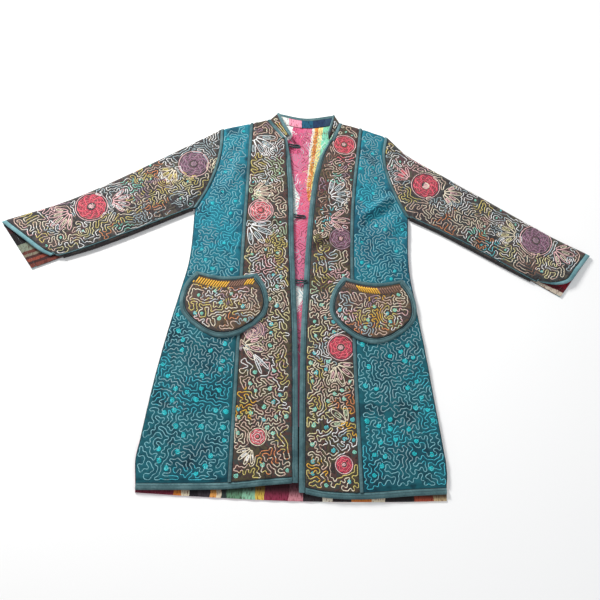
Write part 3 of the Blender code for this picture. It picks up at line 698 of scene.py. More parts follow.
def cloth_material(name, colours, size, hard=False, pitch=WEAVE_PITCH, turn=0.0, depth=1.0):
    """Cotton whose worn-dye mask picks from a list of colours; hard edges make patchwork."""
    material, tree = new_material(name, {**COTTON, "Sheen Weight": 0.15})
    place = place_of(tree)
    worn = add_node(tree, "Group", {"Size": size, "Vector": place}, node_tree=worn_group)
    marks = np.linspace(0.36, 0.64, len(colours) + hard).tolist()
    marks[0] = 0.0 if hard else marks[0]
    coloured(tree, worn.outputs["Mask"], zip(marks, colours), "CONSTANT" if hard else "EASE")
    turned = add_node(tree, "Mapping", {"Rotation": (0.0, 0.0, turn), "Vector": place})
    woven(tree, turned.outputs["Vector"], pitch, depth, 0.6)
    return material


def tinted_by_height(material, low, high, tint):
    """Multiply a cloth's colour by a tint from one height, fading to none at another; on the hem lining
    it is painted shade.
    """
    tree = material.node_tree
    share = add_node(tree, "MapRange", {
        "Value": axes_of(tree, place_of(tree))["Y"], "From Min": high - ORIGIN_UP,
        "From Max": low - ORIGIN_UP}, interpolation_type="SMOOTHSTEP")
    return mixed(material, share.outputs["Result"], tint, "MULTIPLY")


# The teal is multiplied by a warm tint below the waist, so it is darker and duller on the skirt.
teal_cotton = tinted_by_height(cloth_material(
    "teal_cotton", [(6, 62, 80), (14, 90, 110), (22, 112, 130), (10, 74, 92)], 0.11),
    0.30, 0.62, (236, 206, 200))
band_cotton = cloth_material(
    "band_cotton", [(66, 54, 48), (74, 68, 50), (52, 46, 46), (80, 56, 52), (58, 62, 60),
                    (70, 60, 52)], 0.06, hard=True)
sleeve_cotton = cloth_material(
    "sleeve_cotton", [(56, 50, 52), (80, 68, 64), (58, 62, 62), (50, 46, 48), (78, 74, 64),
                      (76, 56, 58)], 0.075, hard=True)
pocket_cotton = cloth_material(
    "pocket_cotton", [(74, 62, 54), (92, 74, 56), (66, 58, 56), (88, 70, 64)], 0.05, hard=True)
binding_cotton = cloth_material(
    "binding_cotton", [(58, 88, 94), (72, 104, 109), (90, 122, 127)], 0.03,
    pitch=0.0014, turn=0.78, depth=1.3)
cuff_cotton = cloth_material(
    "cuff_cotton", [(84, 126, 134), (104, 146, 152), (120, 160, 166)], 0.03,
    pitch=0.0014, turn=0.78, depth=1.3)
loop_cotton = cloth_material(
    "loop_cotton", [(26, 38, 42), (52, 74, 78), (70, 96, 100)], 0.012,
    pitch=0.0014, turn=0.4, depth=1.3)
print("cloth materials:", len(bpy.data.materials))

# %% [markdown]
# The lining is striped cotton. The stripes run along the coat, so one Color Ramp with hard stops is
# read by the x place of the surface, pushed about a little by noise so no stripe is ruled. Small
# dark red flecks come from a stretched noise, as in a slub cotton. Where a band of another colour
# crosses the stripes, a plain patch with a drawn edge is laid over them.
# %% Lining material
PATCH_REACH = 0.05       # a patch's edge lies within this of the middle of the coat
FLECK_COLOUR = (140, 80, 80)


def striped_material(name, low, high, stripes, wobble=0.004, along="X", fleck=0.35, slant=0.0):
    """Striped cotton: each stripe is (place where it starts, screen colour)."""
    material, tree = new_material(name, COTTON)
    place = place_of(tree)
    parts = axes_of(tree, place)
    pushed = maths(tree, "ADD", parts[along], ragged(tree, place, 60.0, 4.0, wobble * 2))
    if slant:
        other = parts["Y" if along == "X" else "X"]
        pushed = maths(tree, "SUBTRACT", pushed, maths(tree, "MULTIPLY", other, slant))
    share = maths(tree, "DIVIDE", maths(tree, "SUBTRACT", pushed, low), high - low)
    coloured(tree, share, [(max(0.0, (start - low) / (high - low)), colour)
                           for start, colour in stripes])
    stretched = add_node(tree, "Mapping", {"Scale": (420.0, 110.0, 420.0), "Vector": place})
    slub = noise_of(tree, stretched.outputs["Vector"], 1.0, 1.0)
    amount = add_node(tree, "MapRange", {"Value": slub, "From Min": 0.5, "From Max": 0.72,
                                         "To Max": fleck})
    mixed(material, amount.outputs["Result"], FLECK_COLOUR, "MULTIPLY")
    woven(tree, place, WEAVE_PITCH, 1.0, 0.5)
    return material


def patched(material, edge, colour):
    """Lay a patch of plain colour left of an edge given as (height, x) points."""
    tree = material.node_tree
    place = place_of(tree)
    parts = axes_of(tree, place)
    low, high = edge[0][0], edge[-1][0]
    share = maths(tree, "DIVIDE", maths(tree, "SUBTRACT", parts["Y"], low - ORIGIN_UP),
                  high - low)
    line = add_node(tree, "FloatCurve", {"Value": share})
    spots = [((height - low) / (high - low), (x + PATCH_REACH) / (2 * PATCH_REACH))
             for height, x in edge]
    curve_points = line.mapping.curves[0].points
    curve_points[0].location, curve_points[-1].location = spots[0], spots[-1]
    for spot in spots[1:-1]:
        curve_points.new(*spot)
    for point in curve_points:
        point.handle_type = "VECTOR"
    line.mapping.update()
    at = maths(tree, "SUBTRACT", maths(tree, "MULTIPLY", line.outputs["Value"], 2 * PATCH_REACH),
               PATCH_REACH)
    pushed = maths(tree, "ADD", parts["X"], ragged(tree, place, 160.0, 2.0, 0.008))
    return mixed(material, maths(tree, "LESS_THAN", pushed, at), colour)


# The stripes lean a little to the right going up. The numbers are their places at y = 0
lining_cotton = patched(striped_material("lining_cotton", -0.34, 0.34, [
    (-0.340, (150, 60, 84)), (-0.250, (214, 130, 62)), (-0.230, (226, 214, 188)),
    (-0.200, (46, 40, 44)), (-0.160, (150, 196, 168)), (-0.110, (222, 196, 92)),
    (-0.090, (198, 88, 124)), (-0.040, (198, 104, 134)), (-0.0203, (220, 216, 210)),
    (-0.0155, (216, 186, 118)), (-0.0120, (206, 132, 66)), (-0.0035, (224, 210, 138)),
    (0.0070, (128, 202, 168)), (0.032, (196, 222, 212)), (0.042, (48, 42, 46)),
    (0.060, (222, 214, 196)), (0.120, (206, 116, 50)), (0.160, (226, 214, 188)),
    (0.190, (60, 46, 46)), (0.230, (176, 84, 62)), (0.270, (222, 196, 150))],
    slant=0.09, fleck=0.8),
    [(0.350, 0.040), (0.650, 0.040), (0.680, 0.0130), (0.712, 0.0098), (0.750, 0.0102),
     (0.800, 0.0136), (0.812, -0.040), (0.900, -0.040)], (198, 104, 134))
patched(lining_cotton, [
    (0.350, -0.040), (0.380, -0.006), (0.410, -0.002), (0.430, 0.012), (0.455, 0.012),
    (0.465, -0.040), (0.618, -0.040), (0.628, -0.014), (0.645, -0.012), (0.655, -0.014),
    (0.662, -0.008), (0.677, -0.007), (0.690, -0.007), (0.703, -0.014), (0.728, -0.022),
    (0.745, -0.026), (0.768, -0.034), (0.845, -0.044), (0.852, -0.032), (0.880, -0.030),
    (0.900, -0.030)], (222, 222, 218))
hem_lining = striped_material("hem_lining", -0.34, 0.34, [
    (-0.340, (118, 44, 62)), (-0.247, (214, 128, 56)), (-0.229, (226, 214, 186)),
    (-0.214, (36, 32, 38)), (-0.196, (58, 52, 58)), (-0.172, (226, 160, 84)),
    (-0.158, (226, 212, 184)), (-0.148, (48, 60, 58)), (-0.136, (98, 142, 112)),
    (-0.104, (140, 196, 164)), (-0.079, (222, 188, 84)), (-0.059, (140, 50, 76)),
    (-0.010, (196, 130, 140)), (0.020, (48, 42, 46)), (0.060, (222, 214, 196)),
    (0.080, (52, 44, 46)), (0.120, (206, 122, 56)), (0.160, (226, 214, 188)),
    (0.190, (44, 40, 42)), (0.250, (178, 86, 64)), (0.290, (222, 196, 150))], fleck=0.9)
# Painted shade: the hem lining is darkened where it lies under the front's hem, fading out towards the
# back's hem.
tinted_by_height(hem_lining, 0.012, -0.009, (92, 82, 88))
# Inside the cuffs the stripes run along the sleeve, listed from its lower edge up
cuff_linings = {
    "left": striped_material("cuff_lining_left", 0.28, 0.44, [
        (0.280, (104, 54, 46)), (0.300, (58, 34, 34)), (0.307, (132, 66, 52)),
        (0.316, (66, 36, 34)), (0.323, (118, 112, 96)), (0.330, (92, 52, 44)),
        (0.338, (116, 124, 108)), (0.362, (28, 24, 26)), (0.400, (54, 28, 32)),
        (0.420, (30, 22, 26))], wobble=0.003, along="Y", slant=0.45, fleck=0.8),
    "right": striped_material("cuff_lining_right", 0.26, 0.42, [
        (0.260, (190, 178, 162)), (0.288, (84, 24, 32)), (0.300, (128, 28, 40)),
        (0.330, (96, 22, 30)), (0.352, (134, 34, 42)), (0.380, (48, 22, 28))],
        wobble=0.003, along="Y", slant=-0.45, fleck=0.8),
}
collar_lining = striped_material("collar_lining", -0.085, 0.085, [
    (-0.085, (214, 220, 214)), (-0.040, (224, 146, 168)), (-0.008, (28, 84, 110)),
    (0.020, (32, 52, 84)), (0.050, (42, 66, 92)), (0.068, (64, 44, 46))],
    wobble=0.003, fleck=0.7)
print("lining materials:", [cloth.name for cloth in bpy.data.materials if "lining" in cloth.name])

# %% [markdown]
# What lies face down, the back of the coat and the under layer of each sleeve, is quilted too, but
# real thread would stand it off the table. There the stitching is drawn in the finish instead:
# level lines of a noise field meander just as the needle does, and they give colour and bump.
# %% Quilted cloth that lies face down
def build_meander():
    """Meandering lines: level lines of a slow noise."""
    group, inside, outside = node_group("Meander", "Line", Spacing=0.007)
    noise = noise_of(group, inside["Vector"], maths(group, "DIVIDE", 0.45, inside["Spacing"]), 0.0)
    level = maths(group, "FRACT", maths(group, "MULTIPLY", noise, 7.0))
    away = maths(group, "ABSOLUTE", maths(group, "SUBTRACT", level, 0.5))
    line = add_node(group, "MapRange", {"Value": away, "From Min": 0.20, "From Max": 0.08},
                    interpolation_type="SMOOTHSTEP")
    feed(group, outside, {"Line": line.outputs["Result"]})
    return group


meander_group = build_meander()


def stitched_material(name, colours, thread, size, spacing):
    """Cotton with meandering stitch lines drawn in its colour and bump."""
    material = cloth_material(name, colours, size)
    tree = material.node_tree
    line = add_node(tree, "Group", {"Spacing": spacing, "Vector": place_of(tree)},
                    node_tree=meander_group).outputs["Line"]
    mixed(material, line, thread)
    bumped(tree, line, 0.8, 0.0008)
    return material


quilted_underside = stitched_material(
    "quilted_underside", [(44, 34, 36), (66, 50, 50), (36, 30, 34)], (190, 172, 150), 0.06, 0.0055)
teal_underside = stitched_material(
    "teal_underside", [(10, 72, 92), (22, 104, 126), (14, 86, 106)], (122, 178, 188), 0.11, 0.008)
# Near-black cotton for the sleeves' seam bindings: partly dark cloth, partly painted shade of a sleeve's
# lower edge turning under.
dark_cotton_painted_shade = cloth_material("dark_cotton_painted_shade", [(22, 18, 20), (34, 28, 30), (28, 22, 26)], 0.02)
print("cloth materials:", len(bpy.data.materials))

# %% [markdown]
# Embroidery floss is a material for each dye. It reads the thread's own UV map, where U goes round
# the thread and V runs along it in metres, so each chain link gets a dip where the needle came up,
# coloured darker there as painted shade. One group makes the links, and the materials differ only in
# their colour.
# %% Thread materials
CHAIN_LINK = 0.0034
FLOSS = {"Roughness": 0.7, "Specular IOR Level": 0.35}


def build_chain():
    """Links along a thread: high in the middle of each and low where the next one starts, which floss
    paints as shade.
    """
    group, inside, outside = node_group("Chain links", "Height")
    along = axes_of(group, inside["Vector"])["Y"]
    wave = maths(group, "SINE", maths(group, "MULTIPLY", along, math.pi / CHAIN_LINK))
    feed(group, outside, {"Height": maths(group, "POWER", maths(group, "ABSOLUTE", wave), 0.6)})
    return group


chain_group = build_chain()


def floss(name):
    """Cotton floss in one dye, with painted shade between its chain links, varied at random by the
    worn-dye mask.
    """
    material, tree = new_material("floss_" + name.replace(" ", "_"), FLOSS)
    marks = add_node(tree, "UVMap", {}, uv_map="along_thread").outputs["UV"]
    links = add_node(tree, "Group", {"Vector": marks}, node_tree=chain_group).outputs["Height"]
    worn = add_node(tree, "Group", {"Size": 0.02, "Vector": place_of(tree)},
                    node_tree=worn_group).outputs["Mask"]
    mask = maths(tree, "MULTIPLY", links,
                 maths(tree, "ADD", maths(tree, "MULTIPLY", worn, 0.9), 0.5))
    colour = np.array(DYES[name])
    shade = add_node(tree, "Mix", {
        "Factor": mask, "A": dye(*(colour * 0.70)), "B": dye(*np.minimum(colour * 1.08, 255))},
        data_type="RGBA")
    feed(tree, shader_of(tree), {"Base Color": shade.outputs["Result"]})
    bumped(tree, links, 0.5, 0.0003)
    return material


floss_of = {name: floss(name) for name in DYES}
print("floss colours:", len(floss_of))

# %% [markdown]
# Every cloth piece is a closed wall: a flat grid is added, extruded once, and its two sheets are
# laid on two grids of points, the lower and the upper face of the cloth. The inside hardly shows,
# so its flat cells are dissolved and only the outside keeps the fine ones.
# %% Cloth walls
PLAIN_ANGLE = math.radians(1.2)


def settle(piece, materials, slot):
    """Finish a piece: its materials and the body it rides on. The slot is not used."""
    for material in materials:
        piece.data.materials.append(material)
    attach(piece, "root")
    return piece


def cloth_wall(name, lower, upper, materials, slot, thin=False, angle=50):
    """Lay the two faces of a closed cloth wall on two grids of points, [row][column].

    The second material goes on the inner sheet, a third on what lies face down.
    """
    rows, columns = lower.shape[:2]
    bpy.ops.object.select_all(action="DESELECT")
    bpy.ops.mesh.primitive_grid_add(x_subdivisions=columns - 1, y_subdivisions=rows - 1, size=2.0)
    piece = bpy.context.object
    piece.name = name
    mesh = piece.data
    bpy.ops.object.mode_set(mode="EDIT")
    bpy.ops.mesh.select_all(action="SELECT")
    bpy.ops.mesh.extrude_region_move()
    bpy.ops.object.mode_set(mode="OBJECT")
    outside = np.zeros(len(mesh.vertices), bool)
    mesh.vertices.foreach_get("select", outside)
    flat = np.zeros(len(mesh.vertices) * 3)
    mesh.vertices.foreach_get("co", flat)
    flat = flat.reshape(-1, 3)
    column = np.rint((flat[:, 0] + 1.0) / 2.0 * (columns - 1)).astype(int)
    row = np.rint((flat[:, 1] + 1.0) / 2.0 * (rows - 1)).astype(int)
    place = np.where(outside[:, None], upper[row, column], lower[row, column])
    place[:, 1] -= ORIGIN_UP
    mesh.vertices.foreach_set("co", place.ravel())
    corners = np.zeros(len(mesh.loops), int)
    mesh.loops.foreach_get("vertex_index", corners)
    inner_faces = ~outside[corners.reshape(-1, 4)].any(axis=1)
    mesh.update()
    bpy.ops.object.mode_set(mode="EDIT")
    bpy.ops.mesh.select_all(action="SELECT")
    bpy.ops.mesh.normals_make_consistent(inside=False)
    bpy.ops.mesh.select_all(action="DESELECT")
    bpy.ops.object.mode_set(mode="OBJECT")
    finish = (inner_faces & (len(materials) > 1)).astype(int)
    if len(materials) > 2:
        normals = np.zeros(len(mesh.polygons) * 3)
        mesh.polygons.foreach_get("normal", normals)
        finish[~inner_faces & (normals[2::3] < -0.5)] = 2
    mesh.polygons.foreach_set("material_index", finish)
    if thin:
        bpy.context.tool_settings.mesh_select_mode = (False, False, True)
        mesh.polygons.foreach_set("select", inner_faces)
        bpy.ops.object.mode_set(mode="EDIT")
        bpy.ops.mesh.dissolve_limited(angle_limit=PLAIN_ANGLE)
        bpy.ops.object.mode_set(mode="OBJECT")
    bpy.ops.object.shade_smooth_by_angle(angle=math.radians(angle))
    return settle(piece, materials, slot)


def outline_of(plan):
    """The closed outline of a grid of plan points."""
    return np.vstack([plan[0, :-1, :2], plan[:-1, -1, :2], plan[-1, :0:-1, :2],
                      plan[:0:-1, 0, :2]])


def distance_to(points, line, closed=True, block=4000):
    """Distance from each plan point to a line of points."""
    start = line if closed else line[:-1]
    end = np.roll(line, -1, axis=0) if closed else line[1:]
    way = end - start
    squared = (way ** 2).sum(axis=1) + 1e-18
    flat = points.reshape(-1, 2)
    found = np.empty(len(flat))
    for k in range(0, len(flat), block):
        apart = flat[k:k + block, None] - start
        share = np.clip((apart * way).sum(axis=2) / squared, 0.0, 1.0)
        found[k:k + block] = np.sqrt(((apart - share[..., None] * way) ** 2).sum(axis=2).min(axis=1))
    return found.reshape(points.shape[:-1])


def inside(points, outline):
    """Whether each plan point lies inside a closed outline, by counting crossings."""
    x, y = points[..., 0, None], points[..., 1, None]
    x0, y0 = outline.T
    x1, y1 = np.roll(x0, -1), np.roll(y0, -1)
    crosses = (y0 > y) != (y1 > y)
    at = x0 + (y - y0) * (x1 - x0) / np.where(y1 == y0, 1e-12, y1 - y0)
    return (crosses & (x < at)).sum(axis=-1) % 2 == 1


print("cloth wall maker ready")

# %% [markdown]
# The whole coat is covered with vermicelli, a single line that wanders everywhere and never
# crosses itself. A machinist does it by feel. Here a random tree is grown over a lattice of cells
# and the line is walked all the way round it, which gives closed loops. Then the line is
# lengthened again and again while its strands keep their distance, so it buckles into small round
# lobes and fills its room, as the stitcher's line does.
# %% Meandering stitch lines
THREAD_STEP = 0.0023     # between samples of a line
SPLIT_OVER = 1.35        # a step this many times as long gets a point in its middle
SPLIT_CHANCE = 0.08      # and so does any other, at this chance, while the line still grows
CALM_TURNS = 24          # turns at the end in which it doesn't grow
NEAR_STEPS = 3           # points of one line this few steps apart don't push each other
LOOSE = 1.6              # the lattice's cells are this much wider than the spacing wanted
STIR = 0.4               # how far the lattice is bent out of square
LONGER = 2.2             # the line grows to at most this many times its first length
WANDER_TURNS = 100
MOST_MOVE = 0.0007       # of a point in one turn
MOTIF_REACH = 0.0040     # what the line keeps from the middle of a motif's stitches
OUT_OF_ROOM = -0.004     # a point this far out is not measured against the motifs


def closed_curve(points, step=THREAD_STEP):
    """Smooth closed curve through points, with a sample for each step of its length."""
    padded = np.vstack([points[-1], points, points[0], points[1]])
    fine = through_points(padded, 8)
    length = np.linalg.norm(np.diff(fine, axis=0), axis=1).sum()
    return evenly(fine, max(6, int(round(length / step))))[:-1]


def walk_round(cells, links):
    """Follow the line round a tree of cells; each cell has four points of the line."""
    beside = {}

    def join(a, b):
        beside.setdefault(a, []).append(b)
        beside.setdefault(b, []).append(a)

    for i, j in cells:
        low, right, high, left = ((i, j - 1), (i + 1, j), (i, j + 1), (i - 1, j))
        a, b = (2 * i, 2 * j), (2 * i + 1, 2 * j)
        c, d = (2 * i + 1, 2 * j + 1), (2 * i, 2 * j + 1)
        for other, side in ((low, (a, b)), (right, (b, c)), (high, (c, d)), (left, (d, a))):
            if ((i, j), other) not in links:
                join(*side)
        if ((i, j), right) in links:
            join(b, (b[0] + 1, b[1]))
            join(c, (c[0] + 1, c[1]))
        if ((i, j), high) in links:
            join(c, (c[0], c[1] + 1))
            join(d, (d[0], d[1] + 1))
    loops, seen = [], set()
    for first in beside:
        if first in seen:
            continue
        loop, last, here = [], None, first
        while here not in seen:
            seen.add(here)
            loop.append(here)
            one, two = beside[here]
            last, here = here, two if one == last else one
        loops.append(loop)
    return loops


def room_within(border, margin, strips=(), strip_margin=0.0, hidden=None, motifs=(), clear=0.0):
    """Give a function that says how much room a plan point has, negative where it has none."""
    tree = None
    if len(motifs):
        spots = np.vstack(motifs)
        tree = KDTree(len(spots))
        for k, (x, y) in enumerate(spots):
            tree.insert((x, y, 0.0), k)
        tree.balance()

    def room(points):
        away = distance_to(points, border)
        free = np.where(inside(points, border), away, -away) - margin
        for strip in strips:
            free = np.minimum(free, distance_to(points, strip, closed=False) - strip_margin)
        if hidden is not None:
            away = distance_to(points, hidden)
            free = np.minimum(free, np.where(inside(points, hidden), -away, away))
        if tree is not None:
            for k in np.flatnonzero(free > OUT_OF_ROOM):
                x, y = points[k]
                free[k] = min(free[k], tree.find((x, y, 0.0))[2] - clear)
        return free

    return room


def nudged(points, room):
    """Move points that lack room the shortest way to where they have it."""
    points = points.copy()
    for _ in range(2):
        free = room(points)
        short = np.flatnonzero(free < 0.0)
        if len(short) == 0:
            break
        step = 0.0002
        here = points[short]
        slope = np.column_stack([room(here + [step, 0.0]) - room(here - [step, 0.0]),
                                 room(here + [0.0, step]) - room(here - [0.0, step])])
        slope /= np.linalg.norm(slope, axis=1, keepdims=True) + 1e-9
        points[short] = here - slope * free[short, None]
    return points, room(points)


def close_pairs(points, reach):
    """Pairs of points closer together than a reach, found through a grid of cells."""
    cell = np.floor(points / reach).astype(int)
    cell -= cell.min(axis=0) - 1
    width = cell[:, 1].max() + 2
    key = cell[:, 0] * width + cell[:, 1]
    order = np.argsort(key, kind="stable")
    ranked = key[order]
    ones, twos = [], []
    for shift in (0, 1, width - 1, width, width + 1):
        start = np.searchsorted(ranked, key + shift, "left")
        count = np.searchsorted(ranked, key + shift, "right") - start
        one = np.repeat(np.arange(len(points)), count)
        skip = np.arange(count.sum()) - np.repeat(np.cumsum(count) - count, count)
        two = order[np.repeat(start, count) + skip]
        keep = (one < two) | (shift > 0)
        ones.append(one[keep])
        twos.append(two[keep])
    one, two = np.concatenate(ones), np.concatenate(twos)
    close = ((points[one] - points[two]) ** 2).sum(axis=1) < reach * reach
    return one[close], two[close]


def wander(loops, reach_at, walls, wall_reach, seed):
    """Lengthen closed lines while their strands keep apart, till they fill their room."""
    rng = np.random.default_rng(seed)
    points = np.vstack(loops)
    which = np.repeat(np.arange(len(loops)), [len(loop) for loop in loops])
    goal = LONGER * len(points)
    for turn in range(WANDER_TURNS):
        if turn % 4 == 0:
            count = np.bincount(which, minlength=len(loops))
            first = np.cumsum(count) - count
            after = np.arange(len(points)) + 1
            after[first + count - 1] = first
            split = np.linalg.norm(points[after] - points, axis=1) > SPLIT_OVER * THREAD_STEP
            if len(points) < goal and turn < WANDER_TURNS - CALM_TURNS:
                split |= rng.random(len(points)) < SPLIT_CHANCE
            where = np.flatnonzero(split)
            middle = (points[where] + points[after[where]]) / 2
            points = np.insert(points, where + 1, middle, axis=0)
            which = np.insert(which, where + 1, which[where])
            total = len(points)
            count = np.bincount(which, minlength=len(loops))
            first = np.cumsum(count) - count
            after, before = np.arange(total) + 1, np.arange(total) - 1
            after[first + count - 1], before[first] = first, first + count - 1
            place = np.arange(total) - first[which]
            reach = np.concatenate([reach_at(points), wall_reach])
            one, two = close_pairs(np.vstack([points, walls]), reach.max() * 1.1)
            one, two = np.minimum(one, two), np.maximum(one, two)
            one, two = one[one < total], two[one < total]
            mine = two < total
            steps = np.abs(place[one[mine]] - place[two[mine]])
            steps = np.minimum(steps, count[which[one[mine]]] - steps)
            apart = np.full(len(one), total)
            apart[mine] = np.where(which[one[mine]] == which[two[mine]], steps, total)
            one, two = one[apart > NEAR_STEPS], two[apart > NEAR_STEPS]
            limit = np.where(two < total, (reach[one] + reach[two]) / 2, reach[two])
        everything = np.vstack([points, walls])
        way = everything[one] - everything[two]
        away = np.linalg.norm(way, axis=1) + 1e-9
        push = (np.clip(limit - away, 0.0, None) * 0.25 / away)[:, None] * way
        size = len(everything)
        move = np.column_stack([(np.bincount(one, push[:, k], size)
                                 - np.bincount(two, push[:, k], size))[:total] for k in (0, 1)])
        for other in (after, before):
            way = points[other] - points
            away = np.linalg.norm(way, axis=1, keepdims=True) + 1e-9
            move += 0.35 * way * (1.0 - THREAD_STEP / away)
        move += 0.3 * ((points[after] + points[before]) / 2 - points)
        far = np.linalg.norm(move, axis=1, keepdims=True) + 1e-12
        points = points + move * np.minimum(1.0, MOST_MOVE / far)
    for _ in range(3):
        points = points + 0.5 * ((points[after] + points[before]) / 2 - points)
    return [points[which == k] for k in range(len(loops))]


def walls_of(border, room, spacing):
    """Points just outside the room a line has, for it to turn back from."""
    low, high = border.min(axis=0) - spacing, border.max(axis=0) + spacing
    x, y = np.meshgrid(*(np.arange(low[k], high[k], 0.5 * spacing) for k in (0, 1)))
    spots = np.column_stack([x.ravel(), y.ravel()])
    free = room(spots)
    return spots[(free < -0.3 * spacing) & (free > -0.95 * spacing)]


def vermicelli(border, spacing, seed, room, lean, grow=0.0, motifs=(), loose=LOOSE):
    """Meandering closed lines inside a border, a little closer together at the top with grow."""
    rng = np.random.default_rng(seed)
    low, high = border.min(axis=0), border.max(axis=0)
    half = (high - low)[1] / 2
    loose = spacing * loose
    reach = int(np.hypot(*(high - low)) / 4 / loose * (1.0 + abs(grow))) + 3
    index = np.arange(-2 * reach, 2 * reach)
    u, v = np.meshgrid(index + 0.5, index + 0.5, indexing="ij")
    phase = rng.uniform(0.0, 2 * math.pi, 6)
    jitter = np.clip(rng.normal(0.0, 0.13, (2, *u.shape)), -0.28, 0.28)

    def to_plan(u, v):
        a = u + STIR * (np.sin(v * 0.9 + phase[0]) + np.sin(v * 0.37 + phase[1]))
        b = v + STIR * (np.sin(u * 0.8 + phase[2]) + np.sin(u * 0.41 + phase[3]))
        x = (a * math.cos(lean) - b * math.sin(lean)) * loose
        y = (a * math.sin(lean) + b * math.cos(lean)) * loose
        scale = 1.0 - grow * y / half
        y = y - grow * y * y / half / 2 + grow * half / 4
        return np.stack([x * scale, y], axis=-1) + (low + high) / 2

    def local(points):
        return spacing * (1.0 - grow * (points[:, 1] - (low + high)[1] / 2) / half)

    nodes = to_plan(u + jitter[0], v + jitter[1]).reshape(-1, 2)
    close = (nodes > low - spacing).all(axis=1) & (nodes < high + spacing).all(axis=1)
    free = np.full(len(nodes), -1.0)
    free[close] = room(nodes[close])
    rescue = free > -0.5 * spacing
    nodes[rescue], free[rescue] = nudged(nodes[rescue], room)
    good = (free > -0.0006).reshape(u.shape)
    nodes = nodes.reshape(*u.shape, 2)
    cells = [(i, j) for i in range(-reach, reach) for j in range(-reach, reach)
             if good[2 * i + 2 * reach:2 * i + 2 * reach + 2,
                     2 * j + 2 * reach:2 * j + 2 * reach + 2].all()]
    known = set(cells)
    edges = [(cell, other) for cell in cells
             for other in ((cell[0] + 1, cell[1]), (cell[0], cell[1] + 1)) if other in known]
    group = {cell: cell for cell in cells}

    def root(cell):
        while group[cell] != cell:
            group[cell] = group[group[cell]]
            cell = group[cell]
        return cell

    links = set()
    for k in rng.permutation(len(edges)):
        one, two = edges[k]
        if root(one) != root(two):
            group[root(one)] = root(two)
            links |= {(one, two), (two, one)}
    loops = [closed_curve(np.array([nodes[a + 2 * reach, b + 2 * reach] for a, b in loop]))
             for loop in walk_round(cells, links)]
    if not loops:
        return []
    walls = walls_of(border, room, spacing)
    spots = np.vstack([walls, *motifs])
    wall_reach = np.full(len(spots), MOTIF_REACH)
    wall_reach[:len(walls)] = 0.75 * spacing
    loops = wander(loops, local, spots, wall_reach, seed)
    count = np.cumsum([len(loop) for loop in loops])[:-1]
    points = nudged(np.vstack(loops), room)[0]
    return [closed_curve(loop) for loop in np.split(points, count)]


def scattered(border, room, count, share_at, radius_at, apart, seed):
    """Places for dots: random, where there is room, and no two close together."""
    rng = np.random.default_rng(seed)
    tries = rng.uniform(border.min(axis=0), border.max(axis=0), (60 * count, 2))
    tries = tries[room(tries) > radius_at(tries[:, 1])]
    tries = tries[rng.random(len(tries)) < share_at(tries[:, 1])]
    kept = []
    for spot in tries:
        if all(np.hypot(*(spot - other)) > apart for other in kept):
            kept.append(spot)
    return [(spot, float(radius_at(spot[1])) * rng.uniform(0.85, 1.1)) for spot in kept[:count]]


def rim_of(spot, radius):
    """Points round a dot, which the wandering line keeps clear of."""
    angle = np.linspace(0.0, 2 * math.pi, 14, endpoint=False)
    return spot + radius * np.column_stack([np.cos(angle), np.sin(angle)])


# %% [markdown]
# A thread lies half sunk in the cloth. Its mesh is a low three-sided bar along each line: two
# faces meet in a ridge on top and the third is hidden in the cloth. Each stretch belongs to the
# dye of the thread zone it passes through, as when a stitcher changes floss and carries on.
# %% Threads
THREAD_WIDTH = 0.0024
THREAD_RISE = 0.0008
THREAD_SINK = 0.0003


def height_at(tree, points, missing=0.0):
    """Height of the top of a mesh under each plan point."""
    found = np.full(len(points), missing)
    for k, (x, y) in enumerate(points):
        hit = tree.ray_cast(Vector((x, y - ORIGIN_UP, 0.2)), Vector((0.0, 0.0, -1.0)))[0]
        if hit is not None:
            found[k] = hit.z
    return found


def tree_of(*pieces):
    """Search tree over the triangles of finished pieces."""
    points, faces = [], []
    for piece in pieces:
        first = len(points)
        points += [vertex.co.copy() for vertex in piece.data.vertices]
        faces += [[first + k for k in face.vertices] for face in piece.data.polygons]
    return BVHTree.FromPolygons(points, faces)


